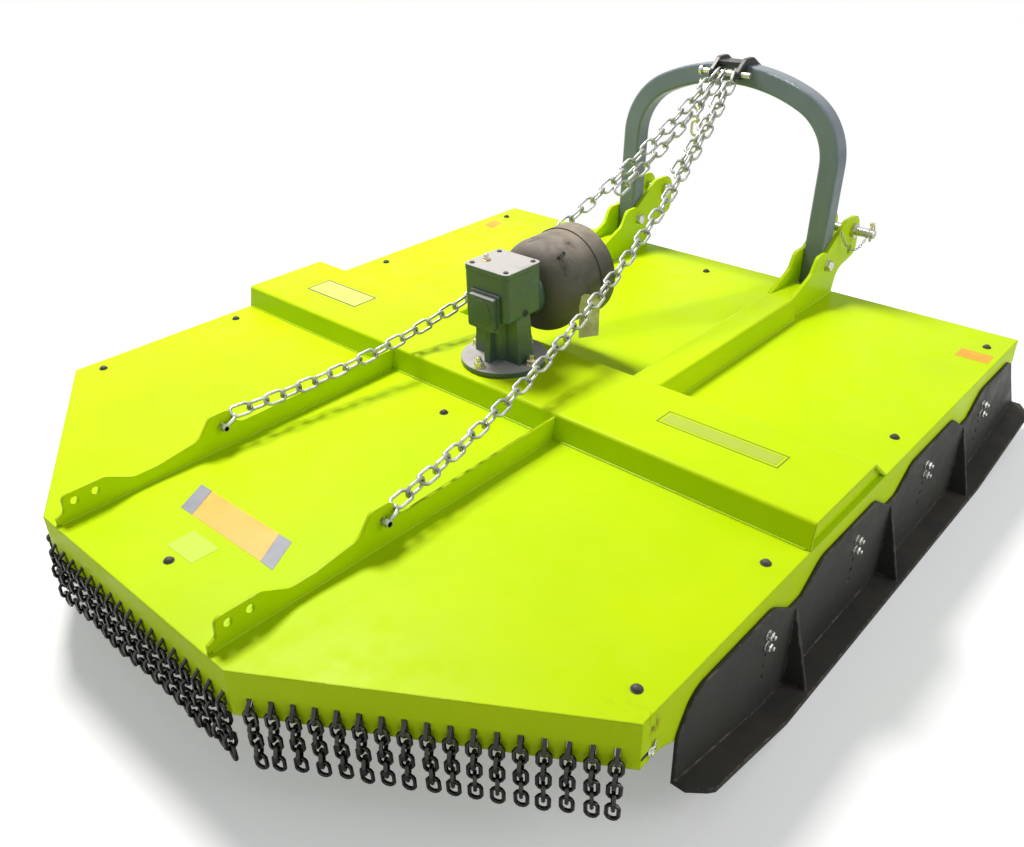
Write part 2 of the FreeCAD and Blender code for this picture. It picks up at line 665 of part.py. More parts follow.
def hitch_plate(label, start):
    """Bracket plate beside a mast leg, with the arm of the lower link."""
    body = new_body(label)
    sketch = new_sketch(body, "YZ_Plane", label + "_outline", ("0", "0", start))
    arm = "Dims.armRound"
    outline(sketch, [
        ("At.hitchRear", "0"),
        ("Dims.deckLength - 6", "0"),
        ("Dims.deckLength + 10", "52", "30"),
        ("At.linkY - 60", "72", "40"),
        ("At.linkY + %s" % arm, "92", "30"),
        ("At.linkY + %s" % arm, "Dims.linkZ + %s" % arm, "%s - 1" % arm),
        ("At.linkY - 58", "Dims.linkZ + %s" % arm, "36"),
        ("At.boltY - 12", "Dims.boltZ + 44", "14"),
        ("At.boltY - 66", "Dims.boltZ + 44", "24"),
        ("At.boltY - 96", "Dims.boltZ - 4", "40"),
        ("At.hitchRear", "Dims.frontBeamHigh"),
    ])
    pad(body, sketch, label + "_plate", "Dims.hitchThick")
    holes = new_sketch(body, "YZ_Plane", label + "_holes", ("0", "0", start))
    ring(holes, "At.boltY", "Dims.boltZ", "Dims.boltHole")
    ring(holes, "At.linkY", "Dims.linkZ", "Dims.linkPin")
    ring(holes, "At.linkY - 5", "Dims.linkZ - Dims.spareHoleDrop", "Dims.linkPin")
    pocket(body, holes, label + "_eyes", "Dims.hitchThick * 3", symmetric=True)
    keep(body)
    return body


def make_hitch():
    """Two plates at each mast leg."""
    inner = hitch_plate("hitch_plate_inner_right", "At.innerHitch")
    mirror_of(inner, "hitch_plate_inner_left")
    outer = hitch_plate("hitch_plate_outer_right", "At.outerHitch")
    mirror_of(outer, "hitch_plate_outer_left")


def make_link_pins():
    """Lower link pin through both plates, with its collar and linch pin hole."""
    body = new_body("lower_link_pin_right")
    sketch = new_sketch(body, "XZ_Plane", "pin_profile", ("0", "Dims.linkZ", "-At.linkY"))
    face = "Dims.frontBeamX + Dims.tube / 2 + Dims.hitchThick"
    inside = "At.innerHitch - 14"
    outline(sketch, [
        (inside, "0"), ("%s + %s" % (face, "Dims.collar + Dims.linkReach"), "0"),
        ("%s + %s" % (face, "Dims.collar + Dims.linkReach"), "Dims.linkPin - 2"),
        ("%s + %s - 2" % (face, "Dims.collar + Dims.linkReach"), "Dims.linkPin"),
        ("%s + Dims.collar" % face, "Dims.linkPin"),
        ("%s + Dims.collar" % face, "Dims.linkPin + 8"), (face, "Dims.linkPin + 8"),
        (face, "Dims.linkPin"), ("At.innerHitch", "Dims.linkPin"),
        ("At.innerHitch", "Dims.linkPin + 6"), (inside, "Dims.linkPin + 6"),
    ])
    revolve(body, sketch, "pin_turned", "H_Axis")
    keep(body)
    mirror_of(body, "lower_link_pin_left")


def make_mast():
    """Bent square tube: two upright legs, rounded shoulders and a shallow crown."""
    item = DOC.addObject("Part::Feature", "Feature_mast_arch")
    tube = size("Dims.tube")
    leg = size("Dims.frontBeamX")
    bend = size("Dims.mastBend")
    turn = math.radians(size("Dims.mastTurn"))
    foot = size("Dims.mastFoot")
    start = size("Dims.mastLegTop")
    reach = leg - bend * (1 - math.cos(turn))
    rise = start + bend * math.sin(turn)
    crown = reach / math.cos(turn)
    top = rise + crown * (1 - math.sin(turn))

    def shoulder(side, share):
        angle = turn * share
        return Vec(side * (leg - bend * (1 - math.cos(angle))), 0, start + bend * math.sin(angle))

    path = Part.Wire([
        Part.LineSegment(Vec(leg, 0, foot), Vec(leg, 0, start)).toShape(),
        Part.Arc(shoulder(1, 0), shoulder(1, 0.5), shoulder(1, 1)).toShape(),
        Part.Arc(shoulder(1, 1), Vec(0, 0, top), shoulder(-1, 1)).toShape(),
        Part.Arc(shoulder(-1, 1), shoulder(-1, 0.5), shoulder(-1, 0)).toShape(),
        Part.LineSegment(Vec(-leg, 0, start), Vec(-leg, 0, foot)).toShape(),
    ])
    half = tube / 2
    corner = size("Dims.tubeCorner")

    def section(edge, radius):
        flat = edge - radius
        marks = []
        for quarter in range(4):
            middle = math.radians(90 * quarter + 45)
            cx = flat * (1 if math.cos(middle) > 0 else -1)
            cy = flat * (1 if math.sin(middle) > 0 else -1)
            for step in (-45, 0, 45):
                angle = middle + math.radians(step)
                marks.append(Vec(leg + cx + radius * math.cos(angle), cy + radius * math.sin(angle), foot))
        edges = []
        for quarter in range(4):
            here = marks[3 * quarter:3 * quarter + 3]
            after = marks[(3 * quarter + 3) % 12]
            edges.append(Part.Arc(here[0], here[1], here[2]).toShape())
            edges.append(Part.LineSegment(here[2], after).toShape())
        return Part.Wire(edges)

    solid = path.makePipeShell([section(half, corner)], True, True)
    solid.rotate(Vec(0, 0, size("Dims.boltZ")), Vec(1, 0, 0), -size("Dims.mastLean"))
    solid.translate(Vec(0, size("At.mastRearY") + half, 0))
    hole = size("Dims.boltHole")
    for side in (1, -1):
        spot = Vec(side * leg - tube, size("At.boltY"), size("Dims.boltZ"))
        solid = solid.cut(Part.makeCylinder(hole, tube * 2, spot, Vec(1, 0, 0)))
    item.Shape = solid
    item.Label = "mast_arch"
    keep(item)
    return item


def make_top_link(mast):
    """Two plates over the crown of the mast, with the holes of the top link and the stay pin."""
    body = new_body("clevis_blank")
    for name, side in (("right", 1), ("left", -1)):
        start = "Dims.clevisGap / 2" if side > 0 else "-Dims.clevisGap / 2 - Dims.clevisPlate"
        sketch = new_sketch(body, "YZ_Plane", "clevis_" + name, ("0", "0", start))
        outline(sketch, [
            ("At.stayY - Dims.clevisBack", "Dims.stayZ - Dims.clevisBack", "10"),
            ("At.stayY + 40", "Dims.stayZ - Dims.clevisBack", "6"),
            ("At.topLinkY - 10", "Dims.topLinkZ - Dims.clevisNose", "20"),
            ("At.topLinkY + Dims.clevisNose", "Dims.topLinkZ - Dims.clevisNose", "22"),
            ("At.topLinkY + Dims.clevisNose", "Dims.topLinkZ + 14", "22"),
            ("At.topLinkY - 56", "Dims.stayZ + Dims.clevisRise", "16"),
            ("At.stayY + 26", "Dims.stayZ + Dims.clevisRise", "16"),
            ("At.stayY - Dims.clevisBack", "Dims.stayZ + 8", "12"),
        ])
        pad(body, sketch, "clevis_plate_" + name, "Dims.clevisPlate")
    bridge = new_sketch(body, "XZ_Plane", "clevis_bridge", ("0", "0", "-(At.stayY + 66)"))
    rectangle(bridge, "-Dims.clevisGap / 2", "Dims.stayZ + 18", "Dims.clevisGap / 2", "Dims.stayZ + 30")
    pad(body, bridge, "clevis_web", "50")
    holes = new_sketch(body, "YZ_Plane", "clevis_holes")
    ring(holes, "At.topLinkY", "Dims.topLinkZ", "Dims.topLinkHole")
    ring(holes, "At.stayY", "Dims.stayZ", "Dims.stayPin")
    pocket(body, holes, "clevis_eyes", "Dims.clevisGap * 4", symmetric=True)
    settle(body)
    cut = DOC.addObject("Part::Cut", "Cut_top_link_clevis")
    cut.Base = body
    cut.Tool = mast
    cut.Label = "top_link_clevis"
    NODES.append(cut)


def make_stay_pin():
    """Headed pin behind the mast that both stay chains hang on."""
    stay = new_body("stay_pin")
    profile = new_sketch(stay, "XZ_Plane", "stay_pin_profile", ("0", "Dims.stayZ", "-At.stayY"))
    outline(profile, [
        ("-Dims.stayX - 26", "0"), ("Dims.stayX + 20", "0"),
        ("Dims.stayX + 20", "Dims.stayPin"), ("-Dims.stayX - 18", "Dims.stayPin"),
        ("-Dims.stayX - 18", "Dims.stayPin + 6"), ("-Dims.stayX - 26", "Dims.stayPin + 6"),
    ])
    revolve(stay, profile, "stay_pin_turned", "H_Axis")
    keep(stay)


# ---------------------------------------------------------------- gearbox


def make_housing():
    """Gearbox casting: carrier through the deck, round flange, armed neck and the box above."""
    body = new_body("gearbox_housing")
    base = "Dims.beamHigh"
    foot = "%s + Dims.flangeThick" % base
    half = "Dims.boxWide / 2"
    corner = "Dims.boxCorner"
    broken = "Dims.boxBreak"
    box = new_sketch(body, "XY_Plane", "box_plan", ("0", "0", "Dims.boxBottom"))
    outline(box, [
        ("-" + half, "Dims.boxRear", corner), (half, "Dims.boxRear", corner),
        (half, "At.boxFront", corner), ("-" + half, "At.boxFront", corner),
    ])
    pad(body, box, "box_block", "Dims.boxTop - Dims.boxBottom")
    ends = new_sketch(body, "YZ_Plane", "box_break_ends")
    sides = new_sketch(body, "XZ_Plane", "box_break_sides", ("0", "0", "-Dims.rotorY"))
    for sketch, low, high in ((ends, "Dims.boxRear", "At.boxFront"), (sides, "-" + half, half)):
        for edge, inward in ((low, 1), (high, -1)):
            corners = [
                ("%s - %d" % (edge, inward), "Dims.boxBottom - 1"),
                ("%s + %d * %s" % (edge, inward, broken), "Dims.boxBottom - 1"),
                ("%s - %d" % (edge, inward), "Dims.boxBottom + %s" % broken),
            ]
            outline(sketch, corners if inward > 0 else corners[::-1])
    pocket(body, ends, "box_broken_ends", "Dims.boxWide * 2", symmetric=True)
    pocket(body, sides, "box_broken_sides", "Dims.boxLong * 2", symmetric=True)
    turned = new_sketch(body, "XZ_Plane", "housing_profile", ("0", "0", "-Dims.rotorY"))
    outline(turned, [
        ("0", "-Dims.snoutDrop"), ("Dims.snout", "-Dims.snoutDrop"),
        ("Dims.snout", base), ("Dims.flangeRound", base),
        ("Dims.flangeRound", foot), ("Dims.neckCore", foot),
        ("Dims.neckCore", "Dims.boxBottom + 20"), ("0", "Dims.boxBottom + 20"),
    ])
    revolve(body, turned, "housing_turned")
    arms = new_sketch(body, "XZ_Plane", "neck_arms", ("0", "0", "-Dims.rotorY"))
    outline(arms, [
        ("-Dims.armFoot", "%s - 2" % foot), ("Dims.armFoot", "%s - 2" % foot),
        ("Dims.armHead", "Dims.boxBottom + 14"), ("-Dims.armHead", "Dims.boxBottom + 14"),
    ])
    pad(body, arms, "neck_side_arms", "Dims.armWide", symmetric=True)
    webs = new_sketch(body, "YZ_Plane", "neck_webs")
    outline(webs, [
        ("Dims.rotorY - Dims.webReach", "%s - 2" % foot), ("Dims.rotorY + Dims.webReach", "%s - 2" % foot),
        ("Dims.rotorY + Dims.webReach - 10", "Dims.boxBottom + 14"),
        ("Dims.rotorY - Dims.webReach + 10", "Dims.boxBottom + 14"),
    ])
    pad(body, webs, "neck_end_webs", "Dims.webWide", symmetric=True)
    bore = new_sketch(body, "XY_Plane", "output_bore", ("0", "0", "-Dims.snoutDrop"))
    ring(bore, "0", "Dims.rotorY", "Dims.outShaft + Dims.running")
    pocket(body, bore, "output_seat", "Dims.snoutDrop + 172", reverse=True)
    side = new_sketch(body, "XZ_Plane", "input_bore", ("0", "0", "-At.boxFront"))
    ring(side, "0", "Dims.inputZ", "Dims.journal + Dims.running")
    pocket(body, side, "input_seat", "44", reverse=True)
    keep(body)


def make_cover():
    """Flat top cover of the gearbox."""
    body = new_body("gearbox_cover")
    sketch = new_sketch(body, "XY_Plane", "cover_plan", ("0", "0", "Dims.boxTop"))
    half = "Dims.boxWide / 2 + 1"
    corner = "Dims.boxCorner + 1"
    outline(sketch, [
        ("-(%s)" % half, "Dims.boxRear - 1", corner), (half, "Dims.boxRear - 1", corner),
        (half, "At.boxFront", corner), ("-(%s)" % half, "At.boxFront", corner),
    ])
    pad(body, sketch, "cover_plate", "Dims.coverThick")
    keep(body)


def make_end_cap():
    """Square cap on its pad on the rear face, with a raised round boss."""
    body = new_body("gearbox_end_cap")
    steps = (("pad", "Dims.capPad", "Dims.capPadThick"), ("plate", "Dims.capWide", "Dims.capThick"))
    bend = "Dims.capCorner"
    for name, wide, thick in steps:
        half = "%s / 2" % wide
        sketch = new_sketch(body, "XZ_Plane", "cap_" + name, ("0", "Dims.inputZ", "-Dims.boxRear"))
        outline(sketch, [
            ("-" + half, "-" + half, bend), (half, "-" + half, bend),
            (half, half, bend), ("-" + half, half, bend),
        ])
        pad(body, sketch, "cap_" + name + "_block", thick)
    boss = new_sketch(body, "XZ_Plane", "cap_boss", ("0", "Dims.inputZ", "-Dims.boxRear"))
    ring(boss, "0", "0", "Dims.capWide * 0.4")
    pad(body, boss, "cap_round", "Dims.capThick + 2")
    keep(body)


def make_input_neck():
    """Front bearing carrier of the input shaft."""
    body = new_body("input_neck")
    sketch = new_sketch(body, "YZ_Plane", "neck_profile", ("0", "Dims.inputZ", "0"))
    inner = "Dims.journal + Dims.running"
    end = "%s + Dims.neckLong" % "At.boxFront"
    outline(sketch, [
        ("At.boxFront", inner), ("%s + Dims.sealLong" % end, inner),
        ("%s + Dims.sealLong" % end, "Dims.sealRound"), (end, "Dims.sealRound"),
        (end, "Dims.neckRound"), ("At.boxFront", "Dims.neckRound"),
    ])
    revolve(body, sketch, "neck_turned", "H_Axis")
    keep(body)


def make_guard():
    """Round drive guard: rounded back, long barrel and a stepped rim at its open end."""
    body = new_body("pto_shield")
    sketch = new_sketch(body, "YZ_Plane", "guard_profile", ("0", "Dims.inputZ", "0"))
    back = "At.boxFront + Dims.neckLong"
    wall = "Dims.guardWall"
    inside = "Dims.guardRound - Dims.guardStep - %s" % wall
    mouth = "%s + Dims.guardLong" % back
    outline(sketch, [
        (back, "Dims.sealRound"),
        ("%s + %s" % (back, wall), "Dims.sealRound"),
        ("%s + %s" % (back, wall), inside, "Dims.guardShoulder - %s" % wall),
        (mouth, inside),
        (mouth, "Dims.guardRound"),
        ("%s - Dims.guardRim" % mouth, "Dims.guardRound"),
        ("%s - Dims.guardRim" % mouth, "Dims.guardRound - Dims.guardStep"),
        (back, "Dims.guardRound - Dims.guardStep", "Dims.guardShoulder"),
    ])
    revolve(body, sketch, "guard_turned", "H_Axis")
    keep(body)


def make_input_shaft():
    """Input shaft with its splined end."""
    body = new_body("input_shaft")
    sketch = new_sketch(body, "YZ_Plane", "shaft_profile", ("0", "Dims.inputZ", "0"))
    seal = "%s + Dims.neckLong + Dims.sealLong" % "At.boxFront"
    end = "%s + 16 + Dims.splineLong" % seal
    outline(sketch, [
        ("%s - 42" % "At.boxFront", "0"), (end, "0"), (end, "Dims.splineRound - 2"),
        ("%s - 2" % end, "Dims.splineRound"), ("%s - 22" % end, "Dims.splineRound"),
        ("%s - 25" % end, "Dims.splineRound - 3"), ("%s - 31" % end, "Dims.splineRound - 3"),
        ("%s - 34" % end, "Dims.splineRound"), ("%s + 16" % seal, "Dims.splineRound"),
        ("%s + 12" % seal, "Dims.journal"), ("%s - 42" % "At.boxFront", "Dims.journal"),
    ])
    revolve(body, sketch, "shaft_turned", "H_Axis")
    groove = new_sketch(body, "XZ_Plane", "spline_gap", ("0", "Dims.inputZ", "-(%s)" % end))
    rectangle(groove, "-3.6", "Dims.splineRound - 2.6", "3.6", "Dims.splineRound + 4")
    cut = pocket(body, groove, "spline_cut", "Dims.splineLong + 8", reverse=True)
    circle_of(body, [cut], "splines", groove, "N_Axis", 6)
    keep(body)


# ---------------------------------------------------------------- rotor


def turned_on_rotor(label, corners):
    """A piece turned about the rotor axis."""
    body = new_body(label)
    sketch = new_sketch(body, "XZ_Plane", label + "_profile", ("0", "0", "-Dims.rotorY"))
    outline(sketch, corners)
    revolve(body, sketch, label + "_turned")
    return body


def make_rotor():
    """Output shaft, hub, blade carrier, guard dish and the blade bolts."""
    keep(turned_on_rotor("output_shaft", [
        ("0", "-(At.barLow + 12)"), ("Dims.outShaft", "-(At.barLow + 12)"),
        ("Dims.outShaft", "168"), ("0", "168"),
    ]))
    keep(turned_on_rotor("rotor_hub", [
        ("Dims.outShaft", "-Dims.barTop"), ("Dims.hubRound + 46", "-Dims.barTop"),
        ("Dims.hubRound + 46", "-(Dims.barTop - 14)"), ("Dims.hubRound", "-(Dims.barTop - 26)"),
        ("Dims.hubRound", "-Dims.hubTop"), ("Dims.outShaft", "-Dims.hubTop"),
    ]))
    bar = new_body("blade_carrier")
    plan = new_sketch(bar, "XY_Plane", "bar_plan", ("0", "0", "-At.barLow"))
    reach = "Dims.pivotReach + 52"
    half = "Dims.barWide / 2"
    outline(plan, [
        ("-(%s)" % reach, "Dims.rotorY - " + half, "40"), (reach, "Dims.rotorY - " + half, "40"),
        (reach, "Dims.rotorY + " + half, "40"), ("-(%s)" % reach, "Dims.rotorY + " + half, "40"),
    ])
    pad(bar, plan, "bar_block", "Dims.barThick")
    holes = new_sketch(bar, "XY_Plane", "bar_holes", ("0", "0", "-At.barLow"))
    ring(holes, "0", "Dims.rotorY", "Dims.outShaft")
    ring(holes, "Dims.pivotReach", "Dims.rotorY", "Dims.bladeBolt")
    ring(holes, "-Dims.pivotReach", "Dims.rotorY", "Dims.bladeBolt")
    pocket(bar, holes, "bar_eyes", "Dims.barThick * 3", symmetric=True)
    keep(bar)
    keep(turned_on_rotor("stump_dish", [
        ("Dims.outShaft", "-At.barLow"), ("Dims.outShaft", "-(At.barLow + 12)"),
        ("0", "-(At.barLow + 12)"), ("0", "-(At.barLow + 30)"),
        ("Dims.dishRound * 0.62", "-(At.barLow + 26)"),
        ("Dims.dishRound", "-(At.barLow + 6)"), ("Dims.dishRound", "-At.barLow"),
    ]))
    spacer = "At.barLow + Dims.bladeGap - Dims.bladePlay / 2"
    head = "At.barLow + Dims.bladeGap + Dims.bladeThick + Dims.bladePlay / 2"
    for label, side in (("blade_bolt_right", 1), ("blade_bolt_left", -1)):
        body = new_body(label)
        spot = "%d * Dims.pivotReach" % side
        sketch = new_sketch(body, "XZ_Plane", label + "_profile", (spot, "0", "-Dims.rotorY"))
        outline(sketch, [
            ("0", "-(%s + 16)" % head), ("26", "-(%s + 16)" % head), ("32", "-(%s + 4)" % head),
            ("32", "-(%s)" % head), ("Dims.bladeBolt", "-(%s)" % head),
            ("Dims.bladeBolt", "-(%s)" % spacer), ("30", "-(%s)" % spacer),
            ("30", "-At.barLow"), ("Dims.bladeBolt", "-At.barLow"),
            ("Dims.bladeBolt", "-Dims.barTop"), ("28", "-Dims.barTop"),
            ("28", "-(Dims.barTop - 22)"), ("0", "-(Dims.barTop - 22)"),
        ])
        revolve(body, sketch, label + "_turned")
        keep(body)


def make_blade(label, side):
    """Cranked swinging blade, hung under the carrier on its bolt."""
    body = new_body(label)
    top = "-(At.barLow + Dims.bladeGap)"
    low = "-(At.barLow + Dims.bladeGap + Dims.bladeThick)"
    spot = "%d * Dims.pivotReach" % side
    crank = "Dims.bladeCrank"
    sketch = new_sketch(body, "XZ_Plane", label + "_side", (spot, "0", "-Dims.rotorY"))
    far = "%d * (Dims.bladeReach - 1)" % side
    bend = "%d * 120" % side
    fall = "%d * 200" % side
    heel = "%d * -42" % side
    corners = [
        (heel, low), (bend, low), (fall, "%s - %s" % (low, crank)), (far, "%s - %s" % (low, crank)),
        (far, "%s - %s" % (top, crank)), ("%d * 206" % side, "%s - %s" % (top, crank)),
        ("%d * 126" % side, top), (heel, top),
    ]
    if side < 0:
        corners.reverse()
    outline(sketch, corners)
    pad(body, sketch, label + "_strap", "Dims.bladeWide", symmetric=True)
    eye = new_sketch(body, "XY_Plane", label + "_eye", ("0", "0", top))
    ring(eye, spot, "Dims.rotorY", "Dims.bladeBolt + Dims.running")
    pocket(body, eye, label + "_hole", "Dims.bladeThick * 3", symmetric=True)
    keep(body)


# ---------------------------------------------------------------- skids


def make_skids():
    """Skid with its upright plate, foot, gussets and rows of adjusting holes."""
    body = new_body("skid_right")
    wall = new_sketch(body, "YZ_Plane", "skid_wall", ("0", "0", "At.half"))
    high = "-Dims.skidHigh"
    low = "-Dims.skidLow"
    base = "-At.footTop"
    corners = [
        ("At.skidRear", "%s + Dims.rearRise" % base),
        ("At.rearBend", base), ("At.frontBend", base),
        ("At.skidFront", "%s + Dims.frontRise" % base),
        ("At.skidFront - 96", "-116", "60"),
        ("At.skidFront - 150", high, "60"),
    ]
    for index in (2, 1, 0):
        middle = "At.gussetStart + %d * At.gussetStep" % index
        corners += [
            ("%s + 100" % middle, high, "60"), ("%s + 24" % middle, low, "30"),
            ("%s - 24" % middle, low, "30"), ("%s - 100" % middle, high, "60"),
        ]
    corners += [("At.skidRear + 44", high, "60"), ("At.skidRear", "-120", "60")]
    outline(wall, corners)
    pad(body, wall, "skid_plate", "Dims.skidPlate")
    foot = new_sketch(body, "YZ_Plane", "skid_foot", ("0", "0", "At.half"))
    thick = "Dims.footThick"
    outline(foot, [
        ("At.skidRear", "%s + Dims.rearRise" % base),
        ("At.skidRear", "%s + Dims.rearRise - %s" % (base, thick)),
        ("At.rearBend", "%s - %s" % (base, thick)), ("At.frontBend", "%s - %s" % (base, thick)),
        ("At.skidFront", "%s + Dims.frontRise - %s" % (base, thick)),
        ("At.skidFront", "%s + Dims.frontRise" % base),
        ("At.frontBend", base), ("At.rearBend", base),
    ])
    pad(body, foot, "skid_sole", "Dims.skidFoot")
    edge = "At.half + Dims.skidFoot"
    for name, tip, hand in (("rear", "At.skidRear", 1), ("front", "At.skidFront", -1)):
        nose = new_sketch(body, "XY_Plane", "skid_nose_" + name, ("0", "0", "-Dims.skidLow"))
        outline(nose, [
            ("%s + 2" % edge, "%s - %d" % (tip, 3 * hand)),
            ("%s + 2" % edge, "%s + %d * Dims.noseLong" % (tip, hand)),
            ("%s - Dims.noseThin" % edge, "%s + %d * Dims.noseShort" % (tip, hand)),
            ("%s - Dims.noseWide" % edge, "%s - %d" % (tip, 3 * hand)),
        ])
        pocket(body, nose, "skid_round_" + name, "Dims.deckTop")
    for index in range(3):
        middle = "At.gussetStart + %d * At.gussetStep" % index
        web = new_sketch(body, "XZ_Plane", "gusset_%d" % index, ("0", "0", "-(%s)" % middle))
        outline(web, [
            ("At.half + 2", "%s - 2" % base), ("%s - 10" % edge, "%s - 2" % base),
            ("%s - 10" % edge, "%s + 4" % base),
            ("At.half + Dims.skidPlate + 2", "-(Dims.skidLow + 16)"),
            ("At.half + 2", "-(Dims.skidLow + 16)"),
        ])
        pad(body, web, "gusset_web_%d" % index, "Dims.gussetThick", symmetric=True)
    holes = new_sketch(body, "YZ_Plane", "skid_holes", ("0", "0", "At.half"))
    for index in range(5):
        drop = "-(Dims.skidBoltDrop + %d * Dims.skidHolePitch)" % index
        ring(holes, "At.stationStart", drop, "Dims.skidHole")
    cut = pocket(body, holes, "skid_eyes", "Dims.skidPlate * 3", symmetric=True)
    row(body, [cut], "skid_eye_rows", holes, "At.stationRow", "4")
    keep(body)
    mirror_of(body, "skid_left")


# ---------------------------------------------------------------- chains


def slab(body, edge, name, left, low, right, top, start, stop):
    """A box along an edge: between two places along it, two heights and two distances out."""
    sketch = edge.sketch(body, name, start)
    rectangle(sketch, left, low, right, top)
    pad(body, sketch, name + "_block", "(%s) - (%s)" % (stop, start))
    return body.Tip, sketch


def make_curtain(edge):
    """Curtain of one edge: its rod, and strands that come through the slots and hang outside."""
    body = new_body("curtain_" + edge.name)
    rod = "Dims.rodWide / 2"
    slab(body, edge, "rod_" + edge.name,
         "%s - Dims.rodEnd" % edge.first, "-Dims.rodDrop - %s" % rod,
         "Dims.rodEnd - (%s)" % edge.first, "-Dims.rodDrop + %s" % rod,
         "-Dims.rodIn - %s" % rod, "-Dims.rodIn + %s" % rod)
    thin = "Dims.linkThick / 2"
    wide = "Dims.linkWide / 2"
    left = "%s - %s" % (edge.first, thin)
    right = "%s + %s" % (edge.first, thin)
    high = "-Dims.slotLow + Dims.slotHigh - Dims.slotPlay"
    tongue, sketch = slab(body, edge, "tongue_" + edge.name, left, "-Dims.slotLow", right, high,
                          "-Dims.rodIn + %s" % rod, "Dims.curtainReach - Dims.linkDeep")
    hanging, _ = slab(body, edge, "hanging_" + edge.name,
                      "%s - %s" % (edge.first, wide), "-Dims.strandDrop",
                      "%s + %s" % (edge.first, wide), "-Dims.slotLow + Dims.slotHigh",
                      "Dims.curtainReach - Dims.linkDeep", "Dims.curtainReach")
    row(body, [tongue, hanging], "strands_" + edge.name, sketch, edge.span, edge.count)
    keep(body)


def make_stay_chain(side, name):
    """Slack stay chain from its end plate on the stay pin to just short of the shackle."""
    pin = Vec(size("Dims.stayX"), size("At.stayY"), size("Dims.stayZ"))
    wire = size("Dims.stayWire")
    plate = size("Dims.hookWide")
    wide = size("Dims.stayLinkWide")
    links = int(size("Dims.stayLinks"))
    sag = size("Dims.staySag%s" % name.capitalize())
    top = pin - Vec(0, 0, plate / 2 - wire / 4)
    low = shackle_bar_middle()
    way = low - top
    short = size("Dims.shackleBar * 0.8 + Dims.looseFit") + wide / 2 * abs(way.x) / way.Length
    way = way * ((way.Length - short) / way.Length)
    spots = []
    for index in range(links + 1):
        share = index / links
        spot = top + way * share - Vec(0, 0, 4 * sag * share * (1 - share))
        spots.append(Vec(spot.x * side, spot.y, spot.z))
    parts = []
    for index in range(links):
        across, deep = (wide, wire) if index % 2 else (wire, wide)
        step = spots[index + 1] - spots[index]
        lap = wire / 4 if index < links - 1 else 0
        box = Part.makeBox(across, deep, step.Length + lap, Vec(-across / 2, -deep / 2, 0))
        turn = FreeCAD.Rotation(Vec(0, 0, 1), step)
        box.Placement = FreeCAD.Placement(spots[index], turn).multiply(box.Placement)
        parts.append(box)
    middle = Vec(pin.x * side, pin.y, pin.z)
    hook = Part.makeBox(wire, plate, plate, middle - Vec(wire / 2, plate / 2, plate / 2))
    solid = parts[0].multiFuse(parts[1:] + [hook])
    loose = size("Dims.stayPin + Dims.looseFit")
    eye = Part.makeCylinder(loose, plate * 2, middle - Vec(plate, 0, 0), Vec(1, 0, 0))
    item = DOC.addObject("Part::Feature", "Feature_stay_chain_" + name)
    item.Shape = solid.cut(eye)
    item.Label = "stay_chain_" + name
    keep(item)


def stay_direction():
    """Direction of a stay chain seen from the side, from its lug to the stay pin."""
    return Vec(0, size("At.stayY - Dims.lugY"), size("Dims.stayZ - Dims.lugZ")).normalize()


def shackle_bar_middle():
    """Middle of the shackle's cross bar, in line with the chain that pulls it."""
    lug = Vec(size("Dims.ribX"), size("Dims.lugY"), size("Dims.lugZ"))
    return lug + stay_direction() * size("Dims.shackleLong")


def make_shackle():
    """Shackle with its pin in the rib's lug, two cheeks and the cross bar of the stay chain."""
    lug = Vec(size("Dims.ribX"), size("Dims.lugY"), size("Dims.lugZ"))
    bar = size("Dims.shackleBar")
    long = size("Dims.shackleLong")
    gap = size("Dims.ribThick / 2 + Dims.shackleGap")
    round_pin = size("Dims.lugHole - Dims.looseFit")
    turn = FreeCAD.Rotation(Vec(0, 1, 0), stay_direction())
    end = gap + bar + size("Dims.looseFit") * 10
    pin = Part.makeCylinder(round_pin, 2 * end, lug - Vec(end, 0, 0), Vec(1, 0, 0))
    parts = [
        Part.makeBox(bar, long + 2 * round_pin, bar * 1.6, Vec(gap, -round_pin * 1.4, -bar * 0.8)),
        Part.makeBox(bar, long + 2 * round_pin, bar * 1.6, Vec(-gap - bar, -round_pin * 1.4, -bar * 0.8)),
        Part.makeBox(2 * (gap + bar), bar, bar, Vec(-gap - bar, long - bar / 2, -bar / 2)),
    ]
    for part in parts:
        part.Placement = FreeCAD.Placement(lug, turn).multiply(part.Placement)
    item = DOC.addObject("Part::Feature", "Feature_lug_shackle_right")
    item.Shape = pin.multiFuse(parts).removeSplitter()
    item.Label = "lug_shackle_right"
    keep(item)
    mirror_of(item, "lug_shackle_left")


# ---------------------------------------------------------------- the whole machine


def build():
    """Build every sub-part in order."""
    fill_sheet()
    make_deck()
    make_cross_beam()
    make_rear_ribs()
    make_front_beams()
    make_hitch()
    make_link_pins()
    mast = make_mast()
    make_top_link(mast)
    make_stay_pin()
    make_housing()
    make_cover()
    make_end_cap()
    make_input_neck()
    make_guard()
    make_input_shaft()
    make_rotor()
    make_blade("blade_right", 1)
    make_blade("blade_left", -1)
    make_skids()
    for edge in EDGES:
        make_curtain(edge)
    make_stay_chain(1, "right")
    make_stay_chain(-1, "left")
    make_shackle()
    DOC.recompute()


def check():
    """Stop if any object failed or any shape is broken."""
    for item in DOC.Objects:
        if "Invalid" in item.State or "Error" in item.State:
            raise RuntimeError("failed: %s %s" % (item.Name, item.State))
    for item in NODES:
        if item.Shape.isNull() or not item.Shape.isValid():
            raise RuntimeError("bad shape: " + item.Label)


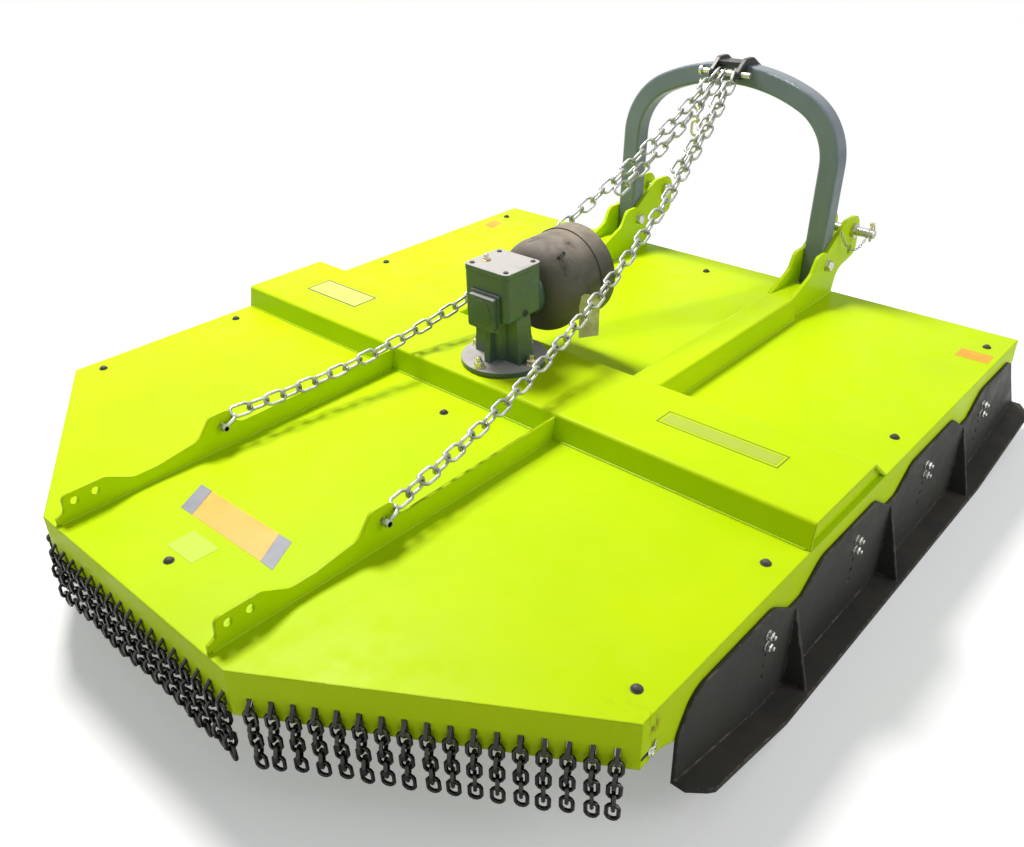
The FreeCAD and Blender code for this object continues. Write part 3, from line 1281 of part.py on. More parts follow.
def export():
    """Write one STEP file for each node."""
    os.makedirs("parts", exist_ok=True)
    for item in NODES:
        item.Shape.exportStep("parts/%s.step" % item.Label)
        box = item.Shape.BoundBox
        print("%-26s solids %d  %8.1f %8.1f %8.1f  %8.1f %8.1f %8.1f  vol %.4g" % (
            item.Label, len(item.Shape.Solids), box.XMin, box.YMin, box.ZMin,
            box.XMax, box.YMax, box.ZMax, item.Shape.Volume))


build()
check()
export()
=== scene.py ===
"""Studio scene of the brush cutter: its finishes, chains, fasteners, plates and light."""
import json
import logging
import math
from collections.abc import Sequence
from dataclasses import dataclass, field
from enum import Enum

import bmesh
import bpy
from mathutils import Matrix, Vector


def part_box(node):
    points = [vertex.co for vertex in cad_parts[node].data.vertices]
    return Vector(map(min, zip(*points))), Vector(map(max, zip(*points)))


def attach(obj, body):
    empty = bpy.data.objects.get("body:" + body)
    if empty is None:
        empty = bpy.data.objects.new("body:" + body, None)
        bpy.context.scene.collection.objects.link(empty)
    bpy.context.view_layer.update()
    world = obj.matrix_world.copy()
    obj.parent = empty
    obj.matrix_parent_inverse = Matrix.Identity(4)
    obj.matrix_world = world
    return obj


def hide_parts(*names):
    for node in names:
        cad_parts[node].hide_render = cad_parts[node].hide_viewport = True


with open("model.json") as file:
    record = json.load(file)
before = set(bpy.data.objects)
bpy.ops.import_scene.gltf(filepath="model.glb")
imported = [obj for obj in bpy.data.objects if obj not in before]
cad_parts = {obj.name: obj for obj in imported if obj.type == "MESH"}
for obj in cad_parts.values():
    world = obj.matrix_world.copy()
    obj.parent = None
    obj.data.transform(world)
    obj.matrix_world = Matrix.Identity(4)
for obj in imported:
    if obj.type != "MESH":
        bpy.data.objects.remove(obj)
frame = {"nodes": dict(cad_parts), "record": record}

LOG = logging.getLogger("brush_cutter")
Colour = tuple[float, float, float]
Point = tuple[float, float, float]
Place = Point | Vector
Outline = Sequence[tuple[float, float]]
Bend = tuple[Vector, Vector, Vector]
Socket = bpy.types.NodeSocket
MM = 0.001
FRAME_BODY = "frame"
# Points nearer than this, in metres, are one.
MERGE = 1e-6
# Degrees between two faces past which their edge stays sharp, on solid parts and on the bars of links.
CREASE = 38.0
CHAIN_CREASE = 60.0
UP: Point = (0.0, 0.0, 1.0)
TO_RIGHT = Matrix.Rotation(math.radians(90), 4, "Y")


# ------------------------------------------------------------------ working frame


@dataclass(frozen=True)
class DeckFrame:
    """Millimetres in the deck's own frame: X right, Y forward from its rear edge, Z up from its top.

    The deck's rear edge and top are in metres, and its half width and length in millimetres.
    """

    rear: float
    top: float
    half: float
    length: float

    @classmethod
    def of_object(cls) -> "DeckFrame":
        """The frame read from the deck's box."""
        low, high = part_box("deck_shell")
        return cls(rear=low[1], top=high[2], half=round(high[0] / MM, 2),
                   length=round((high[1] - low[1]) / MM, 2))

    def at(self, point: Place) -> Vector:
        """A point of the deck frame in metres in the object's frame."""
        return Vector((point[0] * MM, self.rear + point[1] * MM, self.top + point[2] * MM))

    def matrix(self, origin: Point, turn: Matrix) -> Matrix:
        """Carries a shape in metres, drawn at the origin, to a place on the deck.

        Args:
            origin: where the shape's origin goes, in the deck frame.
            turn: a 4x4 rotation applied first.

        Returns:
            The 4x4 matrix to apply to the mesh.
        """
        return Matrix.Translation(self.at(origin)) @ turn


DECK = DeckFrame.of_object()


class Side(Enum):
    """The two hands of the machine."""

    RIGHT = 1
    LEFT = -1

    @property
    def tag(self) -> str:
        """The word that ends the names of its pieces."""
        return self.name.lower()

    def point(self, out: float, forward: float, up: float) -> Vector:
        """A point whose distance out from the middle is on this hand."""
        return Vector((self.value * out, forward, up))


# ------------------------------------------------------------------ node trees


class Tree:
    """A node tree whose nodes are added and filled in one call each."""

    def __init__(self, tree: bpy.types.NodeTree) -> None:
        """Start from an empty tree."""
        self.tree = tree
        self.tree.nodes.clear()

    def put(self, socket: Socket, value: object) -> None:
        """Set a socket, or link another one to it. A colour may leave out its alpha."""
        if isinstance(value, bpy.types.NodeSocket):
            self.tree.links.new(value, socket)
        elif socket.type == "RGBA" and len(value) == 3:
            socket.default_value = (*value, 1.0)
        else:
            socket.default_value = value

    def node(self, kind: str, *inputs: object, **facts: object) -> bpy.types.Node:
        """Add a node.

        Args:
            kind: the node's type.
            inputs: what fills its first sockets, in their order.
            facts: its properties.

        Returns:
            The node.
        """
        node = self.tree.nodes.new(kind)
        for name, value in facts.items():
            setattr(node, name, value)
        for socket, value in zip(node.inputs, inputs):
            self.put(socket, value)
        return node

    def feed(self, node: bpy.types.Node, **values: object) -> bpy.types.Node:
        """Fill a node's sockets by name, with _ for a space."""
        for name, value in values.items():
            self.put(node.inputs[name.replace("_", " ")], value)
        return node

    def fed(self, kind: str, **values: object) -> bpy.types.Node:
        """Add a node and fill its sockets by name."""
        return self.feed(self.node(kind), **values)


class Graph(Tree):
    """Builds the node tree of one material in a few words."""

    def __init__(self, name: str) -> None:
        """Start a material with its shader and output."""
        self.material = bpy.data.materials.new(name)
        self.material.use_nodes = True
        super().__init__(self.material.node_tree)
        self.shader = self.node("ShaderNodeBsdfPrincipled")
        self.node("ShaderNodeOutputMaterial", self.shader.outputs[0])
        self.coords = self.node("ShaderNodeTexCoord").outputs["Object"]

    def stretched(self, scale: Point, shift: Point = (0, 0, 0)) -> Socket:
        """Object coordinates, scaled along each axis."""
        node = self.fed("ShaderNodeMapping", Vector=self.coords, Scale=scale, Location=shift)
        return node.outputs[0]

    def noise(self, scale: float, detail: float = 4.0, where: Socket | None = None,
              rough: float = 0.55) -> Socket:
        """Fractal noise from 0 to 1.

        Args:
            scale: about how many features a metre holds.
            detail: number of octaves.
            where: the coordinates, or None for the object's own.
            rough: weight of the finer octaves.

        Returns:
            The noise.
        """
        node = self.fed("ShaderNodeTexNoise", Vector=where or self.coords, Scale=scale,
                        Detail=detail, Roughness=rough)
        return node.outputs["Fac"]

    def ramp(self, value: Socket, low: float, high: float, start: float = 0.0, stop: float = 1.0) -> Socket:
        """Smooth step of a value.

        Args:
            value: what is read.
            low: where the step begins.
            high: where it ends.
            start: what comes out at low and under it.
            stop: what comes out at high and over it.

        Returns:
            The stepped value.
        """
        node = self.node("ShaderNodeMapRange", value, low, high, start, stop, interpolation_type="SMOOTHSTEP")
        return node.outputs["Result"]

    def math(self, operation: str, first: object, second: object) -> Socket:
        """One arithmetic step, clamped to 0 and 1."""
        return self.node("ShaderNodeMath", first, second, operation=operation, use_clamp=True).outputs[0]

    def product(self, first: object, *others: object) -> Socket:
        """What is left of a mask under others."""
        for other in others:
            first = self.math("MULTIPLY", first, other)
        return first

    def mix(self, share: object, first: object, second: object) -> Socket:
        """Blend of two colours."""
        node = self.node("ShaderNodeMix", share, data_type="RGBA")
        self.put(node.inputs[6], first)
        self.put(node.inputs[7], second)
        return node.outputs[2]

    def facing_up(self) -> Socket:
        """1 on a surface that looks up, 0 on a wall."""
        apart = self.node("ShaderNodeSeparateXYZ", self.node("ShaderNodeNewGeometry").outputs["Normal"])
        return self.ramp(apart.outputs["Z"], 0.35, 0.95)

    def soft_edges(self, radius: float) -> Socket:
        """A normal that turns smoothly round an edge."""
        return self.feed(self.node("ShaderNodeBevel", samples=4), Radius=radius).outputs[0]

    def edge_mask(self, soft: Socket) -> Socket:
        """1 near an edge, from the angle between the soft normal and the true one."""
        true = self.node("ShaderNodeNewGeometry").outputs["Normal"]
        dot = self.node("ShaderNodeVectorMath", soft, true, operation="DOT_PRODUCT")
        return self.ramp(self.math("SUBTRACT", 1.0, dot.outputs["Value"]), 0.02, 0.16)

    def near(self, place: Vector, radius: float) -> Socket:
        """1 at a place of the object, 0 at a radius from it."""
        node = self.node("ShaderNodeVectorMath", self.coords, place, operation="DISTANCE")
        return self.ramp(node.outputs["Value"], radius * 0.15, radius, 1.0, 0.0)

    def bump(self, height: Socket, depth: float, under: Socket) -> Socket:
        """Normal of a height of 0 to 1 that stands depth metres proud of another normal."""
        node = self.fed("ShaderNodeBump", Strength=1.0, Distance=depth, Height=height, Normal=under)
        return node.outputs[0]


@dataclass(frozen=True)
class Stain:
    """A patch of another colour on a painted part, in the deck frame."""

    place: Point
    radius: float
    colour: Colour
    share: float = 0.5
    run: Point = (1.0, 1.0, 1.0)

    def mask(self, graph: Graph) -> Socket:
        """Where it covers the paint, broken up by noise that its run stretches."""
        streak = graph.ramp(graph.noise(55.0, 6, graph.stretched(self.run), 0.7), 0.50, 0.62)
        return graph.product(graph.near(DECK.at(self.place), self.radius * MM), streak, self.share)


@dataclass(frozen=True)
class Finish:
    """One surface: its colour, what lies on it and what shows through it at the edges.

    The shares of speckle, dust on upward faces (on the drive guard also a painted top highlight), wear and
    scratches run from 0 to 1. cloud and grain are the scales of its broad and fine noise. edge, the width of
    an edge's softening, and depth, the grain's height, are metres.
    """

    name: str
    colour: Colour
    second: Colour
    rough: float
    metal: float = 0.0
    coat: float = 0.0
    shine: float = 0.5
    cloud: float = 2.5
    speckle: float = 0.0
    dust_and_top_highlight: float = 0.0
    dust_and_top_highlight_colour: Colour = (0.40, 0.36, 0.28)
    dust_and_top_highlight_from: float = 0.30
    dust_and_top_highlight_to: float = 0.80
    wear: float = 0.0
    bare: Colour = (0.30, 0.29, 0.27)
    edge: float = 0.003
    scratches: float = 0.0
    scratch_colour: Colour = (0.55, 0.56, 0.50)
    grain: float = 300.0
    depth: float = 0.0001
    stains: tuple[Stain, ...] = ()

    def material(self) -> bpy.types.Material:
        """The finish as a procedural material."""
        graph = Graph(self.name)
        colour = graph.mix(graph.ramp(graph.noise(self.cloud, 5), 0.32, 0.68), self.colour, self.second)
        rough = graph.ramp(graph.noise(self.cloud * 6, 6), 0.3, 0.75,
                           max(self.rough - 0.08, 0.04), min(self.rough + 0.14, 1.0))
        soft = graph.soft_edges(self.edge)
        metal: Socket | float = self.metal
        if self.speckle:
            spots = graph.ramp(graph.noise(self.grain * 0.4, 2), 0.70, 0.78)
            colour = graph.mix(graph.product(spots, self.speckle), colour, self.bare)
        if self.scratches:
            colour = graph.mix(self.scratch_mask(graph), colour, self.scratch_colour)
        # Upward faces take dust; on the drive guard this colour is also a painted highlight of its lit top.
        if self.dust_and_top_highlight:
            patches_on_top = graph.ramp(graph.noise(7.0, 8, rough=0.65), self.dust_and_top_highlight_from, self.dust_and_top_highlight_to)
            cover = graph.product(graph.facing_up(), patches_on_top, self.dust_and_top_highlight)
            colour = graph.mix(cover, colour, self.dust_and_top_highlight_colour)
            rough = graph.math("ADD", rough, graph.product(cover, 0.5))
        if self.wear:
            broken = graph.ramp(graph.noise(38.0, 6, rough=0.7), 0.46, 0.60)
            worn = graph.product(graph.edge_mask(soft), broken, self.wear)
            colour = graph.mix(worn, colour, self.bare)
            metal = self.metal or graph.product(worn, 0.6)
        for stain in self.stains:
            colour = graph.mix(stain.mask(graph), colour, stain.colour)
        graph.feed(graph.shader, Base_Color=colour, Roughness=rough, Metallic=metal,
                   Specular_IOR_Level=self.shine, Coat_Weight=self.coat, Coat_Roughness=0.12,
                   Normal=graph.bump(graph.noise(self.grain, 3), self.depth, soft))
        return graph.material

    def scratch_mask(self, graph: Graph) -> Socket:
        """Fine lines along and across the part, gathered in patches."""
        lines = graph.ramp(graph.noise(1.0, 3, graph.stretched((9, 260, 260), (3, 1, 2))), 0.735, 0.76)
        across = graph.ramp(graph.noise(1.0, 3, graph.stretched((240, 8, 240), (1, 5, 2))), 0.745, 0.77)
        patches = graph.ramp(graph.noise(5.0, 2), 0.48, 0.66)
        return graph.product(graph.math("MAXIMUM", lines, across), patches, self.scratches)


RUST: Colour = (0.18, 0.055, 0.018)
PRIMER: Colour = (0.030, 0.026, 0.022)
FINISHES: dict[str, Finish] = {
    "deck_paint": Finish(
        "lime_paint", (0.560, 0.760, 0.002), (0.515, 0.725, 0.002), 0.36, shine=0.06, dust_and_top_highlight=0.05,
        dust_and_top_highlight_colour=(0.66, 0.74, 0.14), wear=0.5, bare=(0.24, 0.26, 0.12), scratches=0.35,
        scratch_colour=(0.72, 0.80, 0.40), edge=0.005, depth=0.00012, grain=160.0,
        stains=(
            Stain((950, 402, -26), 36, RUST, 1.0, (1.0, 1.0, 0.35)),
            Stain((950, 408, -62), 16, PRIMER, 0.9),
            # A faint darker green patch at the rear right corner of the deck top.
            Stain((900, 372, -4), 60, (0.22, 0.34, 0.03), 0.15),
            Stain((-850, 2080, 0), 55, (0.55, 0.20, 0.02), 0.6),
        )),
    "mast_paint": Finish(
        "mast_paint", (0.185, 0.225, 0.262), (0.140, 0.175, 0.200), 0.38, coat=0.1, shine=0.35, dust_and_top_highlight=0.3,
        dust_and_top_highlight_colour=(0.38, 0.35, 0.31), wear=0.55, bare=(0.10, 0.09, 0.08), scratches=0.3,
        scratch_colour=(0.32, 0.34, 0.33), edge=0.005),
    "black_paint": Finish(
        "black_paint", (0.018, 0.018, 0.020), (0.030, 0.030, 0.032), 0.38, dust_and_top_highlight=0.25,
        wear=0.6, bare=(0.22, 0.21, 0.20), scratches=0.3, edge=0.004),
    "gearbox_paint": Finish(
        "gearbox_paint", (0.064, 0.118, 0.082), (0.050, 0.095, 0.065), 0.36, coat=0.25, cloud=9.0,
        dust_and_top_highlight=1.0, dust_and_top_highlight_colour=(0.46, 0.44, 0.42), dust_and_top_highlight_from=0.22, dust_and_top_highlight_to=0.50, wear=0.5,
        bare=(0.20, 0.22, 0.20), scratches=0.2,
        scratch_colour=(0.30, 0.36, 0.32), edge=0.006, depth=0.0003, grain=420.0),
    # Dust and painted top highlight: its upward faces take the lit top's colour, lighter than the base.
    "shield_plastic": Finish(
        "shield_plastic", (0.125, 0.112, 0.092), (0.085, 0.078, 0.062), 0.55, shine=0.3, cloud=8.0,
        dust_and_top_highlight=0.85, dust_and_top_highlight_colour=(0.40, 0.335, 0.27), dust_and_top_highlight_from=0.30, dust_and_top_highlight_to=0.75, scratches=1.0,
        scratch_colour=(0.03, 0.028, 0.025), wear=0.8, bare=(0.04, 0.036, 0.032), edge=0.004, depth=0.0004,
        grain=180.0,
        stains=(
            Stain((-30, 1240, 352), 44, (0.035, 0.030, 0.026), 0.9),
            Stain((60, 1290, 340), 34, (0.045, 0.038, 0.032), 0.8),
            Stain((96, 1226, 300), 60, (0.05, 0.044, 0.038), 0.7),
        )),
    "bright_pin": Finish(
        "bright_zinc", (0.66, 0.66, 0.62), (0.52, 0.51, 0.46), 0.28, metal=1.0, cloud=30.0,
        scratches=0.3, scratch_colour=(0.30, 0.29, 0.26), edge=0.001, depth=0.00008),
    "machined": Finish(
        "machined_steel", (0.42, 0.40, 0.37), (0.24, 0.21, 0.18), 0.34, metal=1.0, cloud=22.0,
        scratches=0.4, scratch_colour=(0.15, 0.14, 0.13), edge=0.001, depth=0.00012),
    "skid_steel": Finish(
        "skid_paint", (0.034, 0.036, 0.032), (0.046, 0.045, 0.038), 0.50, shine=0.16, dust_and_top_highlight=0.25,
        dust_and_top_highlight_colour=(0.17, 0.14, 0.11), wear=0.9, bare=(0.20, 0.16, 0.12), scratches=0.6,
        scratch_colour=(0.20, 0.20, 0.20), edge=0.006,
        stains=(Stain((1000, 1900, -300), 900, (0.10, 0.07, 0.05), 0.2),)),
    "curtain_steel": Finish(
        "oiled_chain", (0.024, 0.024, 0.024), (0.045, 0.040, 0.034), 0.22, metal=0.6, coat=0.35, cloud=26.0,
        speckle=0.5, bare=(0.16, 0.13, 0.10), edge=0.001),
    "galvanised": Finish(
        "galvanised_chain", (0.47, 0.48, 0.46), (0.33, 0.34, 0.31), 0.40, metal=0.85, cloud=30.0,
        speckle=0.3, bare=(0.22, 0.21, 0.19), edge=0.001, depth=0.0002),
    "blade_steel": Finish(
        "blade_steel", (0.105, 0.092, 0.080), (0.16, 0.14, 0.12), 0.45, metal=0.8, cloud=10.0,
        speckle=0.4, bare=(0.17, 0.07, 0.03), wear=0.8, edge=0.004, scratches=0.5),
    "rubber": Finish(
        "rubber_plug", (0.018, 0.018, 0.018), (0.030, 0.029, 0.028), 0.55, dust_and_top_highlight=0.5,
        dust_and_top_highlight_colour=(0.20, 0.20, 0.12), edge=0.001),
    "yellow_zinc": Finish(
        "yellow_zinc", (0.62, 0.55, 0.30), (0.55, 0.54, 0.46), 0.32, metal=0.9, cloud=60.0, edge=0.0008),
    "brass": Finish(
        "brass_fitting", (0.60, 0.38, 0.13), (0.45, 0.25, 0.09), 0.38, metal=0.9, cloud=50.0, edge=0.0008),
    "weld": Finish(
        "painted_weld", (0.540, 0.745, 0.004), (0.58, 0.76, 0.02), 0.36, shine=0.12, cloud=40.0, edge=0.001,
        depth=0.0004),
    # Black for a slot: painted shade where the inside of a hole would be dark.
    "dark_hole": Finish(
        "dark_hole", (0.008, 0.008, 0.008), (0.012, 0.011, 0.010), 0.7, edge=0.001),
    "decal_slate": Finish(
        "decal_slate", (0.255, 0.262, 0.300), (0.215, 0.225, 0.260), 0.35, coat=0.2, edge=0.001,
        scratches=0.6, scratch_colour=(0.50, 0.55, 0.30)),
    "decal_orange": Finish(
        "decal_orange", (0.80, 0.44, 0.022), (0.78, 0.40, 0.020), 0.35, coat=0.1, edge=0.001, scratches=0.4,
        scratch_colour=(0.60, 0.66, 0.10)),
    "decal_red": Finish(
        "decal_red", (0.80, 0.34, 0.012), (0.76, 0.42, 0.012), 0.40, cloud=30.0, edge=0.001, scratches=0.9,
        scratch_colour=(0.55, 0.68, 0.03)),
    "decal_grey": Finish(
        "decal_grey", (0.135, 0.155, 0.100), (0.110, 0.130, 0.080), 0.45, shine=0.3, edge=0.001,
        scratches=0.8, scratch_colour=(0.62, 0.66, 0.40)),
    "decal_pale": Finish(
        "decal_pale", (0.52, 0.71, 0.026), (0.50, 0.69, 0.020), 0.38, shine=0.3, edge=0.001),
    "decal_olive": Finish(
        "decal_olive", (0.20, 0.26, 0.02), (0.17, 0.22, 0.02), 0.45, shine=0.3, edge=0.001),
    "decal_lime": Finish(
        "decal_lime", (0.46, 0.56, 0.05), (0.42, 0.52, 0.05), 0.45, shine=0.3, edge=0.001, scratches=0.8,
        scratch_colour=(0.60, 0.72, 0.05)),
    "decal_straw": Finish(
        "decal_straw", (0.70, 0.68, 0.16), (0.66, 0.64, 0.13), 0.42, shine=0.2, edge=0.001, scratches=0.6,
        scratch_colour=(0.46, 0.46, 0.20)),
    "paper_tag": Finish(
        "paper_tag", (0.80, 0.74, 0.46), (0.50, 0.46, 0.24), 0.8, cloud=30.0, edge=0.001, depth=0.0002,
        grain=120.0),
}


class FinishBook:
    """Makes each material once and hands it out by the name of its slot."""

    def __init__(self) -> None:
        """Start with nothing made."""
        self.made: dict[str, bpy.types.Material] = {}

    def get(self, slot: str) -> bpy.types.Material:
        """The material of a slot."""
        if slot not in self.made:
            self.made[slot] = FINISHES[slot].material()
        return self.made[slot]


BOOK = FinishBook()


# ------------------------------------------------------------------ shapes


class Shape:
    """Closed faces collected in millimetres, drawn in the deck frame or at the origin."""

    def __init__(self) -> None:
        """Start empty."""
        self.points: list[Vector] = []
        self.faces: list[tuple[int, ...]] = []

    def add(self, points: list[Vector], faces: list[tuple[int, ...]]) -> "Shape":
        """Append points and the faces that index them."""
        first = len(self.points)
        self.points += [Vector(point) for point in points]
        self.faces += [tuple(first + index for index in face) for face in faces]
        return self

    def lathe(self, profile: Outline, sides: int = 20) -> "Shape":
        """Turn a profile about Z.

        Args:
            profile: (radius, height) from one pole to the other; a radius of 0 is a pole.
            sides: faces round the turn.

        Returns:
            This shape.
        """
        points: list[Vector] = []
        rings: list[list[int]] = []
        for radius, height in profile:
            if radius <= 0:
                points.append(Vector((0, 0, height)))
                rings.append([len(points) - 1] * sides)
                continue
            start = len(points)
            for step in range(sides):
                angle = 2 * math.pi * step / sides
                points.append(Vector((radius * math.cos(angle), radius * math.sin(angle), height)))
            rings.append(list(range(start, start + sides)))
        faces = []
        for below, above in zip(rings, rings[1:]):
            for step in range(sides):
                after = (step + 1) % sides
                corner = [below[step], below[after], above[after], above[step]]
                face = tuple(dict.fromkeys(corner))
                if len(face) > 2:
                    faces.append(face)
        return self.add(points, faces)

    def pin(self, radius: float, start: float, end: float, sides: int = 16) -> "Shape":
        """Round bar along Z."""
        return self.lathe([(0, start), (radius, start), (radius, end), (0, end)], sides)

    def prism(self, outline: Outline, low: float, high: float, chamfer: float = 0.0) -> "Shape":
        """Extrude a flat outline along Z.

        Args:
            outline: its corners in the XY plane, in order round it.
            low: where it starts.
            high: where it ends.
            chamfer: how far its upper edge is broken, or 0 for a sharp one.

        Returns:
            This shape.
        """
        count = len(outline)
        centre = Vector((sum(p[0] for p in outline) / count, sum(p[1] for p in outline) / count))
        layers = [(low, 0.0), (high - chamfer, 0.0)]
        if chamfer:
            layers.append((high, chamfer))
        points = []
        for height, inset in layers:
            for across, up in outline:
                away = Vector((across, up)) - centre
                away *= max(away.length - inset, 0) / max(away.length, MERGE)
                points.append(Vector((centre.x + away.x, centre.y + away.y, height)))
        faces = [tuple(reversed(range(count))), tuple(range(len(points) - count, len(points)))]
        for layer in range(len(layers) - 1):
            for step in range(count):
                after = (step + 1) % count
                low_a, low_b = layer * count + step, layer * count + after
                faces.append((low_a, low_b, low_b + count, low_a + count))
        return self.add(points, faces)

    def tube(self, path: Sequence[Place], radius: float, sides: int = 8, closed: bool = False) -> "Shape":
        """Round bar along a path, smoothed between its points.

        Args:
            path: points of its centre line.
            radius: half its thickness.
            sides: faces round it.
            closed: whether its end meets its start.

        Returns:
            This shape.
        """
        route = smooth(path, closed)
        count = len(route)
        points = []
        normal = None
        for index, here in enumerate(route):
            back = route[index - 1] if index or closed else here
            ahead = route[(index + 1) % count] if index < count - 1 or closed else here
            along = (ahead - back).normalized()
            if normal is None:
                normal = along.orthogonal().normalized()
            normal = (normal - along * normal.dot(along)).normalized()
            side = along.cross(normal)
            for step in range(sides):
                angle = 2 * math.pi * step / sides
                points.append(here + normal * (radius * math.cos(angle)) + side * (radius * math.sin(angle)))
        faces = []
        for index in range(count if closed else count - 1):
            first = index * sides
            second = ((index + 1) % count) * sides
            for step in range(sides):
                after = (step + 1) % sides
                faces.append((first + step, first + after, second + after, second + step))
        if not closed:
            faces.append(tuple(reversed(range(sides))))
            faces.append(tuple(range((count - 1) * sides, count * sides)))
        return self.add(points, faces)

    def moved(self, matrix: Matrix) -> "Shape":
        """A copy carried by a matrix whose translation is in millimetres."""
        copy = Shape()
        return copy.add([matrix @ point for point in self.points], self.faces)

    def join(self, *others: "Shape") -> "Shape":
        """Append other shapes."""
        for other in others:
            self.add(other.points, other.faces)
        return self

    def mesh(self, name: str, on_deck: bool = True) -> bpy.types.Mesh:
        """The shape in metres, either placed on the deck or about its own origin."""
        mesh = bpy.data.meshes.new(name)
        place = DECK.at if on_deck else (lambda point: Vector(point) * MM)
        mesh.from_pydata([place(tuple(point)) for point in self.points], [], self.faces)
        tidy(mesh)
        return mesh


def smooth(path: Sequence[Place], closed: bool, steps: int = 4) -> list[Vector]:
    """Smooth a path with a Catmull-Rom curve.

    Args:
        path: the points that it runs through.
        closed: whether it comes back to its start.
        steps: how many points each stretch gets.

    Returns:
        The curve's points.
    """
    spots = [Vector(point) for point in path]
    count = len(spots)
    if count < 3:
        return spots
    route = []
    for index in range(count if closed else count - 1):
        if closed:
            four = [spots[(index + shift) % count] for shift in (-1, 0, 1, 2)]
        else:
            four = [spots[min(max(index + shift, 0), count - 1)] for shift in (-1, 0, 1, 2)]
        before, start, end, after = four
        for step in range(steps):
            t = step / steps
            route.append(0.5 * (2 * start + (end - before) * t
                                + (2 * before - 5 * start + 4 * end - after) * t ** 2
                                + (3 * start - before - 3 * end + after) * t ** 3))
    if not closed:
        route.append(spots[-1])
    return route


def tidy(mesh: bpy.types.Mesh, angle: float = CREASE) -> None:
    """Merge doubles, turn faces outwards and smooth all but the sharp edges.

    Args:
        mesh: the mesh that is changed.
        angle: degrees between two faces past which their edge stays sharp.
    """
    work = bmesh.new()
    work.from_mesh(mesh)
    bmesh.ops.remove_doubles(work, verts=work.verts, dist=MERGE)
    bmesh.ops.recalc_face_normals(work, faces=work.faces)
    work.to_mesh(mesh)
    work.free()
    mesh.shade_smooth()
    mesh.set_sharp_from_angle(angle=math.radians(angle))


def add_piece(name: str, made: bpy.types.Mesh | Shape, slot: str, body: str = FRAME_BODY,
              instead_of: tuple[str, ...] = ()) -> bpy.types.Object:
    """Put a finished piece in the scene.

    Args:
        name: the piece's plain name.
        made: its mesh, in metres in the object's frame, or its shape in the deck frame.
        slot: the finish that it takes.
        body: the body that carries it.
        instead_of: the solids that it stands for.

    Returns:
        The new object.
    """
    mesh = made.mesh(name) if isinstance(made, Shape) else made
    piece = bpy.data.objects.new(name, mesh)
    bpy.context.scene.collection.objects.link(piece)
    mesh.materials.clear()
    mesh.materials.append(BOOK.get(slot))
    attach(piece, body)
    if instead_of:
        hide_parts(*instead_of)
    LOG.info("%s: %d faces, rides on %s", name, len(mesh.polygons), body)
    return piece


# ------------------------------------------------------------------ geometry nodes


